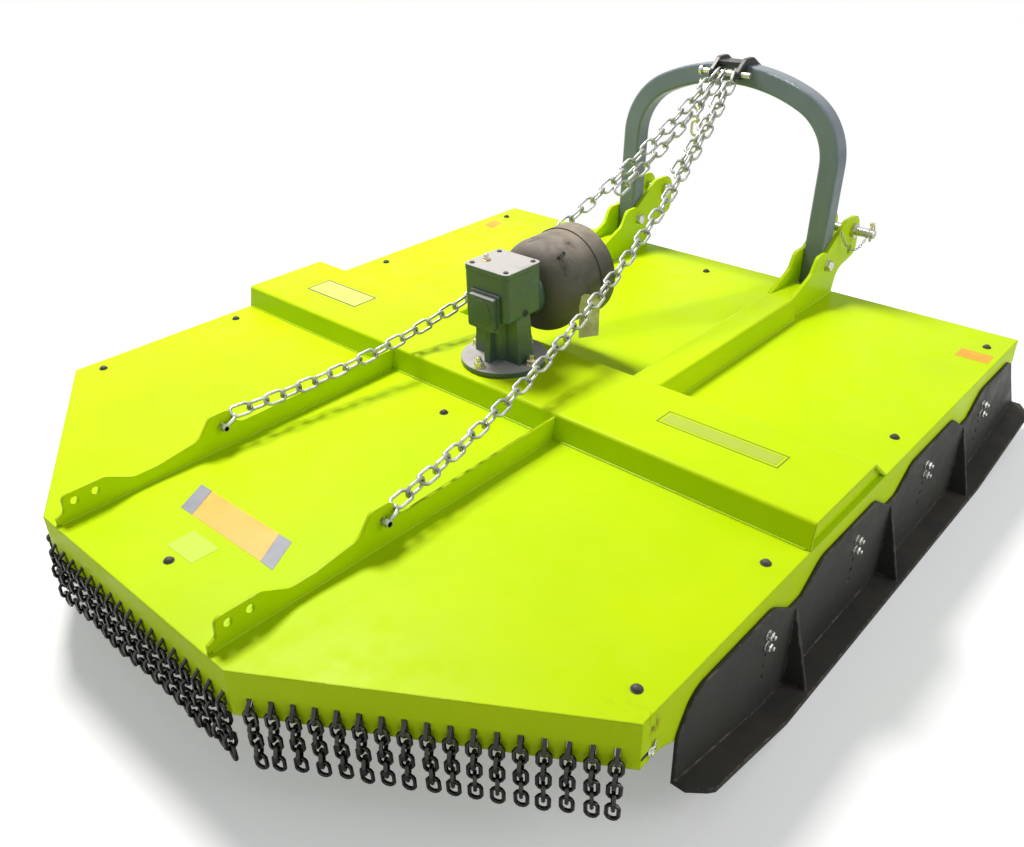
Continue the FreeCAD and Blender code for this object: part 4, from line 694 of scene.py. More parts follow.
class Pattern(Tree):
    """A Geometry Nodes tree with named inputs, run once for each mesh it makes."""

    def __init__(self, name: str) -> None:
        """Start an empty tree with its output."""
        super().__init__(bpy.data.node_groups.new(name, "GeometryNodeTree"))
        self.tree.is_modifier = True
        for way in ("OUTPUT", "INPUT"):
            self.tree.interface.new_socket(name="Geometry", in_out=way, socket_type="NodeSocketGeometry")
        self.given = self.node("NodeGroupInput")
        self.out = self.node("NodeGroupOutput")
        self.names: dict[str, str] = {}

    def ask(self, **kinds: str) -> list[Socket]:
        """Add named inputs.

        Args:
            kinds: the kind of each, such as Float, Int or Material, by its name, with _ for a space.

        Returns:
            Their sockets, in the same order.
        """
        for name, kind in kinds.items():
            made = self.tree.interface.new_socket(name=name.replace("_", " "), in_out="INPUT",
                                                  socket_type="NodeSocket" + kind)
            self.names[name] = made.identifier
        return [self.given.outputs[name.replace("_", " ")] for name in kinds]

    def calc(self, operation: str, *values: object) -> Socket:
        """One arithmetic step."""
        return self.node("ShaderNodeMath", *values, operation=operation).outputs[0]

    def vector(self, *values: object) -> Socket:
        """A vector from three numbers or sockets."""
        return self.node("ShaderNodeCombineXYZ", *values).outputs[0]

    def turn(self, *angles: object) -> Socket:
        """A rotation from three angles."""
        return self.node("FunctionNodeEulerToRotation", self.vector(*angles)).outputs[0]

    def aimed(self, way: Socket, spin: Socket) -> Socket:
        """The rotation that points Z along a way, spun about it."""
        lined = self.feed(self.node("FunctionNodeAlignRotationToVector", axis="Z"), Vector=way)
        both = self.node("FunctionNodeRotateRotation", lined.outputs[0], self.turn(0.0, 0.0, spin),
                         rotation_space="LOCAL")
        return both.outputs[0]

    def moved(self, geometry: Socket, **values: object) -> Socket:
        """Geometry carried by a Translation and a Rotation."""
        return self.fed("GeometryNodeTransform", Geometry=geometry, **values).outputs[0]

    def on_points(self, points: Socket, piece: Socket, rotation: Socket) -> Socket:
        """A copy of a piece on each point."""
        rows = self.fed("GeometryNodeInstanceOnPoints", Points=points, Instance=piece, Rotation=rotation)
        return rows.outputs[0]

    def quarter_turns(self) -> Socket:
        """0 and a quarter turn by turns, from one point to the next."""
        index = self.node("GeometryNodeInputIndex").outputs[0]
        return self.calc("MULTIPLY", self.calc("MODULO", index, 2.0), math.pi / 2)

    def chance(self, low: float, high: float, seed: Socket, shift: int) -> Socket:
        """A random number for each point.

        Args:
            low: the least.
            high: the greatest.
            seed: fixes the numbers.
            shift: tells one use of a seed from another.

        Returns:
            The number.
        """
        node = self.node("FunctionNodeRandomValue", data_type="FLOAT")
        self.put(node.inputs[2], low)
        self.put(node.inputs[3], high)
        self.put(node.inputs["Seed"], self.calc("ADD", seed, shift))
        return node.outputs[1]

    def finish(self, geometry: Socket, material: Socket) -> None:
        """End the tree: real geometry, with its material."""
        real = self.node("GeometryNodeRealizeInstances", geometry)
        coated = self.fed("GeometryNodeSetMaterial", Geometry=real.outputs[0], Material=material)
        self.put(self.out.inputs[0], coated.outputs[0])

    def run(self, name: str, base: bpy.types.Mesh | None = None, **values: object) -> bpy.types.Mesh:
        """Evaluate the tree.

        Args:
            name: name of the new mesh.
            base: the mesh that the tree starts from.
            values: the tree's inputs by name, with _ for a space.

        Returns:
            A plain mesh with no instances.
        """
        holder = bpy.data.objects.new(name + "_holder", base or bpy.data.meshes.new(name + "_base"))
        bpy.context.scene.collection.objects.link(holder)
        modifier = holder.modifiers.new("pattern", "NODES")
        modifier.node_group = self.tree
        for label, value in values.items():
            modifier[self.names[label]] = value
        graph = bpy.context.evaluated_depsgraph_get()
        mesh = bpy.data.meshes.new_from_object(holder.evaluated_get(graph), depsgraph=graph)
        holder.modifiers.remove(modifier)
        bpy.data.objects.remove(holder)
        mesh.name = name
        return mesh


def link_of(pattern: Pattern, pitch: Socket, width: Socket, wire: Socket, steps: int, sides: int) -> Socket:
    """Draw one oval chain link, its long axis along Z and its flat in the XZ plane.

    Args:
        pattern: the tree that it is drawn in.
        pitch: inside length of the link.
        width: outside width.
        wire: thickness of its bar.
        steps: points round the link, an even number.
        sides: faces round the bar.

    Returns:
        The link's mesh.
    """
    radius = pattern.calc("DIVIDE", pattern.calc("SUBTRACT", width, wire), 2.0)
    reach = pattern.calc("SUBTRACT", pattern.calc("DIVIDE", pattern.calc("ADD", pitch, wire), 2.0), radius)
    circle = pattern.fed("GeometryNodeCurvePrimitiveCircle", Resolution=steps, Radius=radius)
    tilted = pattern.moved(circle.outputs[0], Rotation=(0.0, 0.0, math.pi / steps))
    place = pattern.node("GeometryNodeInputPosition").outputs[0]
    apart = pattern.node("ShaderNodeSeparateXYZ", place)
    pull = pattern.calc("MULTIPLY", pattern.calc("SIGN", apart.outputs["Y"]), reach)
    oval = pattern.fed("GeometryNodeSetPosition", Geometry=tilted, Offset=pattern.vector(0.0, pull, 0.0))
    bar = pattern.fed("GeometryNodeCurvePrimitiveCircle", Resolution=sides,
                      Radius=pattern.calc("DIVIDE", wire, 2.0))
    solid = pattern.fed("GeometryNodeCurveToMesh", Curve=oval.outputs[0], Profile_Curve=bar.outputs[0])
    upright = pattern.moved(solid.outputs[0], Rotation=(math.pi / 2, 0.0, 0.0))
    return pattern.fed("GeometryNodeSetShadeSmooth", Geometry=upright).outputs[0]


# Points round a link, and faces round its bar.
CURTAIN_LINK = (12, 6)
SLACK_LINK = (16, 8)
# How far a link may be turned from its place, in radians.
CURTAIN_ODD = 0.14
SLACK_ODD = 0.12
# Points along the bend of a slack chain.
BEND_STEPS = 96


def curtain_pattern() -> Pattern:
    """Rows of hanging strands: a sloping first link and a chain of links under it."""
    pattern = Pattern("hanging strands")
    strands, spacing, links, pitch, width, wire, slope, sway, seed, material = pattern.ask(
        Strands="Int", Strand_pitch="Float", Links="Int", Link_pitch="Float", Link_width="Float",
        Wire="Float", Slope="Float", Sway="Float", Seed="Int", Finish="Material")
    link = link_of(pattern, pitch, width, wire, *CURTAIN_LINK)
    fall = pattern.calc("MULTIPLY", pitch, -1.0)
    line = pattern.fed("GeometryNodeMeshLine", Count=links, Offset=pattern.vector(0.0, 0.0, fall))
    odd = pattern.calc("ADD", pattern.quarter_turns(), pattern.chance(-CURTAIN_ODD, CURTAIN_ODD, seed, 1))
    hung = pattern.on_points(line.outputs[0], link, pattern.turn(0.0, 0.0, odd))
    half = pattern.calc("DIVIDE", pitch, 2.0)
    inward = pattern.calc("MULTIPLY", pattern.calc("SINE", slope), pattern.calc("MULTIPLY", half, -1.0))
    rise = pattern.calc("ADD", pattern.calc("MULTIPLY", pattern.calc("COSINE", slope), half), half)
    leaned = pattern.moved(pattern.moved(link, Rotation=(0.0, 0.0, math.pi / 2)),
                           Translation=pattern.vector(0.0, inward, rise),
                           Rotation=pattern.vector(slope, 0.0, 0.0))
    strand = pattern.node("GeometryNodeJoinGeometry")
    for part in (hung, leaned):
        pattern.put(strand.inputs[0], part)
    run = pattern.fed("GeometryNodeMeshLine", Count=strands, Offset=pattern.vector(spacing, 0.0, 0.0))
    lean, swing, twist = (pattern.calc("MULTIPLY", pattern.chance(low, high, seed, shift), sway)
                          for low, high, shift in ((-1.0, 0.4, 2), (-1.0, 1.0, 3), (-2.5, 2.5, 4)))
    pattern.finish(pattern.on_points(run.outputs[0], strand.outputs[0], pattern.turn(lean, swing, twist)),
                   material)
    return pattern


def slack_pattern() -> Pattern:
    """One slack chain along a curve, each link turned a quarter from the last."""
    pattern = Pattern("slack chain")
    links, start, middle, end, pitch, width, wire, first, seed, material = pattern.ask(
        Links="Int", Start="Vector", Middle="Vector", End="Vector", Link_pitch="Float", Link_width="Float",
        Wire="Float", First_turn="Float", Seed="Int", Finish="Material")
    link = link_of(pattern, pitch, width, wire, *SLACK_LINK)
    curve = pattern.fed("GeometryNodeCurveQuadraticBezier", Resolution=BEND_STEPS,
                        Start=start, Middle=middle, End=end)
    spots = pattern.feed(pattern.node("GeometryNodeCurveToPoints", mode="COUNT"), Curve=curve.outputs[0],
                         Count=links)
    spin = pattern.calc("ADD", pattern.calc("ADD", pattern.quarter_turns(), first),
                        pattern.chance(-SLACK_ODD, SLACK_ODD, seed, 1))
    rows = pattern.on_points(spots.outputs["Points"], link, pattern.aimed(spots.outputs["Tangent"], spin))
    pattern.finish(rows, material)
    return pattern


def copies_pattern() -> Pattern:
    """Copies of one small piece on points, each facing its own way."""
    pattern = Pattern("copies on points")
    model, seed, material = pattern.ask(Piece="Object", Seed="Int", Finish="Material")
    info = pattern.fed("GeometryNodeObjectInfo", Object=model)
    facing = pattern.feed(pattern.node("GeometryNodeInputNamedAttribute", data_type="FLOAT_VECTOR"),
                          Name="facing")
    spin = pattern.chance(0.0, 2 * math.pi, seed, 1)
    rows = pattern.on_points(pattern.given.outputs["Geometry"], info.outputs["Geometry"],
                             pattern.aimed(facing.outputs[0], spin))
    pattern.finish(rows, material)
    return pattern


CURTAIN = curtain_pattern()
SLACK = slack_pattern()
COPIES = copies_pattern()


def copies(name: str, model: Shape, spots: list[tuple[Place, Place]], slot: str, seed: int = 1,
           body: str = FRAME_BODY) -> bpy.types.Object:
    """Repeat a small shape at places that each face a way.

    Args:
        name: name of the piece that they make together.
        model: the shape, drawn at the origin and facing +Z.
        spots: (place in the deck frame, direction) of each copy.
        slot: the finish.
        seed: fixes how each copy is turned.
        body: the body that carries them.

    Returns:
        The piece.
    """
    pattern_object = bpy.data.objects.new(name + "_model", model.mesh(name + "_model", on_deck=False))
    bpy.context.scene.collection.objects.link(pattern_object)
    base = bpy.data.meshes.new(name + "_spots")
    base.from_pydata([DECK.at(place) for place, _ in spots], [], [])
    facing = base.attributes.new("facing", "FLOAT_VECTOR", "POINT")
    for item, (_, way) in zip(facing.data, spots):
        item.vector = way
    mesh = COPIES.run(name, base, Piece=pattern_object, Seed=seed, Finish=BOOK.get(slot))
    bpy.data.objects.remove(pattern_object)
    tidy(mesh)
    return add_piece(name, mesh, slot, body)


def add_chain(name: str, bend: Bend, slot: str, instead_of: tuple[str, ...] = (),
              **sizes: float) -> bpy.types.Object:
    """Lay a slack chain along a bend.

    Args:
        name: the piece's plain name.
        bend: its ends and the point that it bends towards, in the deck frame.
        slot: the finish.
        instead_of: the solids that it stands for.
        sizes: the other inputs of the slack chain's tree.

    Returns:
        The piece.
    """
    ends = {label: list(DECK.at(tuple(spot))) for label, spot in zip(("Start", "Middle", "End"), bend)}
    mesh = SLACK.run(name, Finish=BOOK.get(slot), **sizes, **ends)
    tidy(mesh, CHAIN_CREASE)
    return add_piece(name, mesh, slot, instead_of=instead_of)


def ring_of(radius: float, step: int, start: int = 0) -> Outline:
    """Points round a circle, a number of degrees apart."""
    return [(radius * math.cos(math.radians(turn)), radius * math.sin(math.radians(turn)))
            for turn in range(start, start + 360, step)]


WASHER_THICK = 2.2
# Shares of a head's height and of its size over the flats.
HEAD_CHAMFER = 0.16
STUD_ROUND = 0.29


def bolt(across: float, head: float, washer: float = 0.0, stud: float = 0.0) -> Shape:
    """Hexagon head or nut, facing +Z from 0.

    Args:
        across: size of the hexagon over its flats.
        head: its height.
        washer: radius of the washer under it, or 0 for none.
        stud: how far the end of its stud stands out, or 0 for none.

    Returns:
        The shape.
    """
    shape = Shape()
    base = 0.0
    if washer:
        base = WASHER_THICK
        shape.pin(washer, 0, base, 20)
    shape.prism(ring_of(across / math.sqrt(3), 60), base, base + head, head * HEAD_CHAMFER)
    if stud:
        round_end = across * STUD_ROUND
        low, high = base + head, base + head + stud
        shape.lathe([(0, low), (round_end, low), (round_end, high - 1), (round_end - 1, high), (0, high)], 16)
    return shape


# ------------------------------------------------------------------ sub-assemblies


@dataclass
class Bodywork:
    """Gives every solid its finish."""

    count: int = 0

    def build(self) -> None:
        """Coat each node with the material of its slot."""
        for item in frame["record"]["subparts"]:
            node = frame["nodes"][item["node"]]
            if not node.material_slots:
                node.data.materials.append(None)
            for holder in node.material_slots:
                holder.material = BOOK.get(item["material_slot"])
            self.count += 1
        LOG.info("finished %d solids", self.count)


@dataclass
class Edge:
    """One edge of the deck that carries a curtain."""

    name: str
    origin: Point
    angle: float
    strands: int


@dataclass
class ChainCurtains:
    """Hanging chains round the deck's ends, on rods behind the skirts."""

    rear_half: float = 340.0
    side_y: float = 373.0
    strand_pitch: float = 40.0
    link_pitch: float = 27.0
    link_width: float = 30.0
    wire: float = 8.0
    hang_out: float = 9.5
    hang_drop: float = 100.0
    links: int = 5
    slope: float = 52.0
    sway: float = 0.035
    first_seed: int = 11
    rod_in: float = 20.0
    rod_drop: float = 76.0
    rod_round: float = 6.0
    rod_past: float = 14.0
    edges: list[Edge] = field(default_factory=list)

    def __post_init__(self) -> None:
        """Work out where each edge runs."""
        turn = math.degrees(math.atan2(self.side_y, DECK.half - self.rear_half))
        across = (DECK.half + self.rear_half) / 2
        self.edges = [
            Edge("rear", (0, 0, 0), 180, 17),
            Edge("rear_right", (across, self.side_y / 2, 0), 180 + turn, 17),
            Edge("rear_left", (-across, self.side_y / 2, 0), 180 - turn, 17),
            Edge("front", (0, DECK.length, 0), 0, 47),
        ]

    def build(self) -> None:
        """Make the strands of each edge as one piece, and their rod."""
        for number, edge in enumerate(self.edges):
            name = "curtain_links_" + edge.name
            mesh = CURTAIN.run(
                name, Strands=edge.strands, Strand_pitch=self.strand_pitch * MM,
                Links=self.links, Link_pitch=self.link_pitch * MM, Link_width=self.link_width * MM,
                Wire=self.wire * MM, Slope=math.radians(self.slope), Sway=self.sway,
                Seed=self.first_seed + number, Finish=BOOK.get("curtain_steel"))
            start = -(edge.strands - 1) * self.strand_pitch / 2
            turn = Matrix.Rotation(math.radians(edge.angle), 4, "Z")
            local = Matrix.Translation(Vector((start, self.hang_out, -self.hang_drop)) * MM)
            mesh.transform(DECK.matrix(edge.origin, turn) @ local)
            tidy(mesh, CHAIN_CREASE)
            add_piece(name, mesh, "curtain_steel", instead_of=("curtain_" + edge.name,))
            self.rod(edge, turn)

    def rod(self, edge: Edge, turn: Matrix) -> None:
        """Make the rod that the strands hang on."""
        half = (edge.strands - 1) * self.strand_pitch / 2 + self.rod_past
        bar = Shape().tube([(-half, -self.rod_in, -self.rod_drop), (half, -self.rod_in, -self.rod_drop)],
                           self.rod_round, 12)
        placed = bar.moved(Matrix.Translation(Vector(edge.origin)) @ turn)
        add_piece("curtain_rod_" + edge.name, placed, "curtain_steel")


@dataclass
class StayChains:
    """Two slack chains from the pin behind the mast's crown to shackles in the rear ribs' lugs.

    Each chain's end is doubled back from the pin beside it, and a spare end hangs at the left. The first of a
    pair of values is the right chain's.
    """

    pin: Point = (30.0, 2098.0, 628.0)
    pin_round: float = 8.0
    pin_lift: float = 0.3
    lug: Point = (285.0, 416.0, 58.0)
    link_pitch: float = 44.5
    link_width: float = 38.0
    wire: float = 8.4
    first_turn: float = 0.4
    sag_along: tuple[float, float] = (0.55, 0.50)
    sag_out: tuple[float, float] = (23.0, 33.0)
    sag_drop: tuple[float, float] = (240.0, 300.0)
    doubled: tuple[float, float] = (0.20, 0.24)
    tail_top: Point = (-20.0, 4.0, -4.0)
    tail_middle: Point = (-24.0, 0.0, -34.0)
    tail_end: Point = (-30.0, -6.0, -20.0)
    spare_end: Point = (-70.0, 2068.0, 462.0)
    spare_rise: Point = (-4.0, 12.0, 118.0)
    shackle_bow: float = 40.0
    shackle_wire: float = 5.0
    chain_seed: int = 3
    tail_seed: int = 5
    spare_seed: int = 9
    measure_steps: int = 64

    def build(self) -> None:
        """Make the chain, its doubled end and its shackle on each side, and the spare end."""
        for side, *bend, doubled in zip(Side, self.sag_along, self.sag_out, self.sag_drop, self.doubled):
            pin, lug = side.point(*self.pin), side.point(*self.lug)
            rise = Vector((0, pin.y - lug.y, pin.z - lug.z)).normalized()
            main = self.sagging(side, pin, lug + rise * self.shackle_bow, *bend)
            self.chain("stay_links_" + side.tag, main, self.chain_seed,
                       instead_of=("stay_chain_" + side.tag,))
            tail = (self.along(main, 1 - doubled) + side.point(*self.tail_end),
                    self.along(main, 1 - doubled / 2) + side.point(*self.tail_middle),
                    main[2] + side.point(*self.tail_top))
            self.chain("stay_tail_" + side.tag, tail, self.tail_seed)
            self.shackle(side, lug, rise)
        spare, lift = Vector(self.spare_end), Vector(self.spare_rise)
        self.chain("stay_loose_end", (spare, spare + lift / 2, spare + lift), self.spare_seed, "yellow_zinc")

    def sagging(self, side: Side, pin: Vector, bow: Vector, along: float, out: float, drop: float) -> Bend:
        """The bend of a chain from its shackle up to the pin.

        Args:
            side: the hand that it is on.
            pin: centre of the pin.
            bow: the top of the shackle's bow.
            along: share of the way at which it is pulled aside.
            out: how far it is pulled outwards.
            drop: how far it is pulled down.

        Returns:
            The first link's place, the point that pulls, and the last link's place.
        """
        way = (pin - bow).normalized()
        low = bow + way * (self.link_pitch / 2 - self.wire / 4)
        top = pin - (way + Vector(UP) * self.pin_lift).normalized() * (self.link_pitch / 2 - self.pin_round)
        return low, low + (top - low) * along + side.point(out, 0, -drop), top

    @staticmethod
    def along(bend: Bend, share: float) -> Vector:
        """The place on a bend at a share of its way."""
        low, middle, top = bend
        return low * (1 - share) ** 2 + middle * (2 * share * (1 - share)) + top * share ** 2

    def chain(self, name: str, bend: Bend, seed: int, slot: str = "galvanised",
              instead_of: tuple[str, ...] = ()) -> None:
        """One slack run of links along a bend, its pitch fitted to a whole number of links.

        Args:
            name: the piece's plain name.
            bend: its ends and the point that pulls it.
            seed: fixes how each link is turned.
            slot: the finish.
            instead_of: the solids that it stands for.
        """
        places = [self.along(bend, step / self.measure_steps) for step in range(self.measure_steps + 1)]
        length = sum((here - before).length for before, here in zip(places, places[1:]))
        count = max(round(length / self.link_pitch), 2)
        add_chain(name, bend, slot, instead_of, Links=count + 1, Link_pitch=length / count * MM,
                  Link_width=self.link_width * MM, Wire=self.wire * MM, First_turn=self.first_turn, Seed=seed)

    def shackle(self, side: Side, lug: Vector, rise: Vector) -> None:
        """Bow shackle with its bolt through the rib's lug."""
        path = [(-13, 0), (-15, 13), (-12, 31), (0, self.shackle_bow), (12, 31), (15, 13), (13, 0)]
        shape = Shape().tube([lug + Vector((across, 0, 0)) + rise * along for across, along in path],
                             self.shackle_wire, 10)
        pin, left_eye, right_eye = (-24.0, 24.0, 6.0), (-18.0, -9.0, 9.5), (9.0, 18.0, 9.5)
        for start, end, radius in (pin, left_eye, right_eye):
            shape.join(Shape().pin(radius, start, end).moved(Matrix.Translation(lug) @ TO_RIGHT))
        head = lug + Vector((right_eye[1], 0, 0))
        shape.join(bolt(across=17, head=6).moved(Matrix.Translation(head) @ TO_RIGHT))
        add_piece("stay_shackle_" + side.tag, shape, "galvanised", instead_of=("lug_shackle_" + side.tag,))


@dataclass
class Fasteners:
    """Bolts, nuts and plugs that repeat over the machine."""

    skid_face: float = 958.0
    plug_inset: float = 51.0
    plug_rows: tuple[float, ...] = (428.0, 857.0, 1467.0, 2088.0)
    plug_middle: tuple[float, ...] = (98.0, 864.0, 2086.0)
    station_first: float = 783.0
    station_pitch: float = 388.0
    stations: int = 4
    bolt_drop: float = 97.0
    bolts_each: int = 2
    hole_pitch: float = 28.0

    def plug(self) -> Shape:
        """Domed rubber plug with a thin flange."""
        flange = [(0, 0), (11.5, 0), (11.5, 1.2)]
        dome = [(9.5 * math.cos(math.radians(angle)), 1.5 + 7.0 * math.sin(math.radians(angle)))
                for angle in range(0, 90, 18)]
        return Shape().lathe(flange + dome + [(0, 8.5)], 24)

    def build(self) -> None:
        """Place every set."""
        across = DECK.half - self.plug_inset
        spots = [(side.point(across, y, 0.0), UP) for side in Side for y in self.plug_rows]
        spots += [((0.0, y, 0.0), UP) for y in self.plug_middle]
        copies("deck_plugs", self.plug(), spots, "rubber")
        spots = [(side.point(self.skid_face, self.station_first + station * self.station_pitch,
                             -self.bolt_drop - row * self.hole_pitch), side.point(1, 0, 0))
                 for side in Side for station in range(self.stations) for row in range(self.bolts_each)]
        copies("skid_bolts", bolt(across=17, head=9, washer=11, stud=6), spots, "bright_pin")


@dataclass
class GearboxTrim:
    """Small parts on the gearbox."""

    axis_y: float = 1091.0
    flange_top: float = 77.0
    bolt_circle: float = 95.0
    box_half: float = 72.5
    box_rear: float = 1028.0
    box_front: float = 1160.0
    top: float = 330.0
    cover_inset: float = 16.0
    sunk: float = 0.5
    plug_at: Point = (72.5, 1095.0, 212.0)
    breather_at: Point = (-42.0, 1080.0, 330.0)
    cover_bolt: Outline = ((0, 0), (6.5, 0), (6.5, 2.5), (5.5, 3.4), (0, 3.4))
    washer: Outline = ((0, -0.5), (12, -0.5), (12, 1.6), (11, 2.2), (0, 2.2))
    breather: Outline = ((0, 2), (8, 2), (8, 6), (5, 6.5), (5, 9), (6.5, 10), (6.5, 14), (4, 17), (0, 18))
    plug: Outline = ((0, -0.5), (9, -0.5), (9, 1.5), (7.5, 2.5), (4, 2.5), (4, 1.2), (0, 1.2))

    def build(self) -> None:
        """Place the flange nuts, cover bolts, breather and level plug."""
        around = [((self.bolt_circle * x, self.axis_y + self.bolt_circle * y, self.flange_top), UP)
                  for x, y in ((1, 0), (-1, 0), (0, 1), (0, -1))]
        copies("flange_nuts", bolt(across=24, head=14, washer=17, stud=12), around, "yellow_zinc", seed=4)
        corners = [((side.value * (self.box_half - self.cover_inset), y, self.top - self.sunk), UP)
                   for side in Side
                   for y in (self.box_rear + self.cover_inset, self.box_front - self.cover_inset)]
        copies("cover_bolts", Shape().lathe(self.cover_bolt, 12), corners, "rubber", seed=5)
        top = [(self.breather_at, UP)]
        copies("breather_washer", Shape().lathe(self.washer), top, "brass", seed=2)
        copies("breather", Shape().lathe(self.breather, 18), top, "bright_pin", seed=2)
        right = [(self.plug_at, (1.0, 0.0, 0.0))]
        copies("level_plug", Shape().lathe(self.plug, 18), right, "rubber", seed=3)


@dataclass
class HitchTrim:
    """Bolts of the mast, and linch pins with their rings and keeper chains, on the lower brackets."""

    outer: float = 392.0
    inner: float = 308.0
    shank_round: float = 9.5
    bolt_at: tuple[float, float] = (2127.0, 105.0)
    link_at: tuple[float, float] = (2280.0, 175.0)
    linch: float = 450.0
    linch_turned: Outline = ((0, -26), (3.2, -24), (4.5, -18), (4.5, 26), (7.5, 27), (7.5, 34), (0, 35))
    ring_at: Point = (1.0, 0.0, 9.0)
    ring_round: float = 20.0
    ring_wire: float = 2.2
    keeper_bend: tuple[Point, Point, Point] = (
        (0.0, -21.0, 6.0), (-20.0, -62.0, -92.0), (-53.0, -104.0, 22.0))
    keeper_links: int = 19
    keeper_pitch: float = 8.5
    keeper_wire: float = 2.1
    keeper_first_turn: float = 0.3
    keeper_seed: int = 21

    def build(self) -> None:
        """Fasten both brackets."""
        spots = []
        for side in Side:
            spots.append((side.point(self.outer, *self.bolt_at), side.point(1, 0, 0)))
            spots.append((side.point(self.inner, *self.bolt_at), side.point(-1, 0, 0)))
            self.shank(side)
            self.linch_pin(side)
            self.keeper(side)
        copies("mast_bolts", bolt(across=30, head=13, washer=19), spots, "bright_pin", seed=6)

    def shank(self, side: Side) -> None:
        """Shank of the mast bolt between the two plates."""
        bar = Shape().pin(self.shank_round, self.inner - 1, self.outer + 1)
        place = Matrix.Translation(Vector((0, *self.bolt_at)))
        if side is Side.LEFT:
            place = place @ Matrix.Scale(-1, 4, Vector((1, 0, 0)))
        add_piece("mast_bolt_shank_" + side.tag, bar.moved(place @ TO_RIGHT), "bright_pin")

    def from_linch(self, side: Side, offset: Place) -> Vector:
        """A place at an offset from the linch pin's middle."""
        x, y, z = Vector((self.linch, *self.link_at)) + Vector(offset)
        return side.point(x, y, z)

    def linch_pin(self, side: Side) -> None:
        """Linch pin through the lower link pin's end, with its ring."""
        middle = Matrix.Translation(self.from_linch(side, (0, 0, 0)))
        shape = Shape().lathe(self.linch_turned, 12).moved(middle)
        ring = [self.from_linch(side, Vector(self.ring_at) + Vector((0, -back, up)))
                for up, back in ring_of(self.ring_round, 30)]
        shape.join(Shape().tube(ring, self.ring_wire, 6, closed=True))
        add_piece("linch_pin_" + side.tag, shape, "yellow_zinc")

    def keeper(self, side: Side) -> None:
        """Light chain that ties the linch pin's ring to the bracket."""
        bend = tuple(self.from_linch(side, offset) for offset in self.keeper_bend)
        add_chain("keeper_chain_" + side.tag, bend, "galvanised", Links=self.keeper_links,
                  Link_pitch=self.keeper_pitch * MM, Link_width=self.keeper_pitch * MM,
                  Wire=self.keeper_wire * MM, First_turn=self.keeper_first_turn, Seed=self.keeper_seed)


@dataclass(frozen=True)
class Patch:
    """One flat blank sticker."""

    name: str
    slot: str
    height: float
    corners: Outline


def framed(name: str, low: tuple[float, float], high: tuple[float, float], height: float,
           edge: float, slot: str) -> list[Patch]:
    """Draw the four bars of a thin border.

    Args:
        name: start of each bar's name.
        low: its rear left corner.
        high: its front right corner.
        height: the surface that it lies on.
        edge: width of a bar.
        slot: the finish.

    Returns:
        The bars.
    """
    (x0, y0), (x1, y1) = low, high
    bars = ((x0, y0, x1, y0 + edge), (x0, y1 - edge, x1, y1), (x0, y0 + edge, x0 + edge, y1 - edge),
            (x1 - edge, y0 + edge, x1, y1 - edge))
    return [Patch(f"{name}_{number}", slot, height, ((a, b), (c, b), (c, d), (a, d)))
            for number, (a, b, c, d) in enumerate(bars)]


BEAM_TOP = 63.0


@dataclass
class Stickers:
    """Blank decals where the machine carries them, with no text or sign."""

    sunk: float = 0.4
    thick: float = 0.35
    patches: list[Patch] = field(default_factory=lambda: [
        Patch("deck_decal_rear_left", "decal_slate", 0, ((-188, 290), (-145, 212), (-101, 213), (-147, 291))),
        Patch("deck_decal_middle", "decal_orange", 0, ((-148, 290), (-101, 213), (141, 216), (96, 294))),
        Patch("deck_decal_right", "decal_slate", 0, ((96, 294), (141, 216), (183, 215), (139, 295))),
        Patch("edge_sticker_right", "decal_red", 0, ((848, 1986), (934, 1986), (934, 2042), (848, 2042))),
        Patch("edge_sticker_left", "decal_red", 0, ((-912, 2034), (-904, 1965), (-850, 1949), (-860, 2025))),
        Patch("beam_decal_left", "decal_straw", BEAM_TOP,
              ((-788, 1061), (-573, 1061), (-573, 1139), (-788, 1139))),
        Patch("beam_decal_right", "decal_lime", BEAM_TOP,
              ((494, 1089), (786, 1089), (786, 1129), (494, 1129))),
        Patch("deck_info", "decal_pale", 0, ((-50, 122), (42, 122), (42, 186), (-50, 186))),
    ])

    def build(self) -> None:
        """Lay every sticker on its surface."""
        patches = list(self.patches)
        patches += framed("beam_border_left", (-793, 1056), (-568, 1144), BEAM_TOP, 5, "decal_grey")
        patches += framed("beam_border_right", (485, 1080), (795, 1138), BEAM_TOP, 3, "decal_olive")
        shapes: dict[str, Shape] = {}
        for patch in patches:
            LOG.info("sticker %s", patch.name)
            block = Shape().prism(patch.corners, patch.height - self.sunk, patch.height + self.thick)
            shapes.setdefault(patch.slot, Shape()).join(block)
        for slot, shape in shapes.items():
            add_piece("stickers_" + slot, shape, slot)


@dataclass
class Welds:
    """Painted beads along the feet of what stands on the deck."""

    beam_half: float = 938.0
    bead: float = 3.0
    bead_up: float = 0.5
    rib_x: float = 285.0
    rib_thick: float = 8.0
    rib_span: tuple[float, float] = (12.0, 940.0)
    beam: tuple[float, float] = (944.0, 1305.0)
    front_x: float = 350.0
    front_half: float = 56.0
    front_span: tuple[float, float] = (1308.0, 1922.0)
    plates: tuple[float, ...] = (308.0, 392.0)
    plate_span: tuple[float, float] = (1936.0, 2180.0)

    def build(self) -> None:
        """Run each bead."""
        pairs = ((self.rib_x, self.rib_thick / 2, self.rib_span),
                 (self.front_x, self.front_half, self.front_span))
        feet = [(centre + offset, span) for centre, half, span in pairs for offset in (-half, half)]
        feet += [(x, self.plate_span) for x in self.plates]
        beads = [[(-self.beam_half, y, self.bead_up), (self.beam_half, y, self.bead_up)] for y in self.beam]
        beads += [[side.point(x, y, self.bead_up) for y in span] for side in Side for x, span in feet]
        shape = Shape()
        for bead in beads:
            shape.tube(bead, self.bead, 8)
        add_piece("weld_beads", shape, "weld")


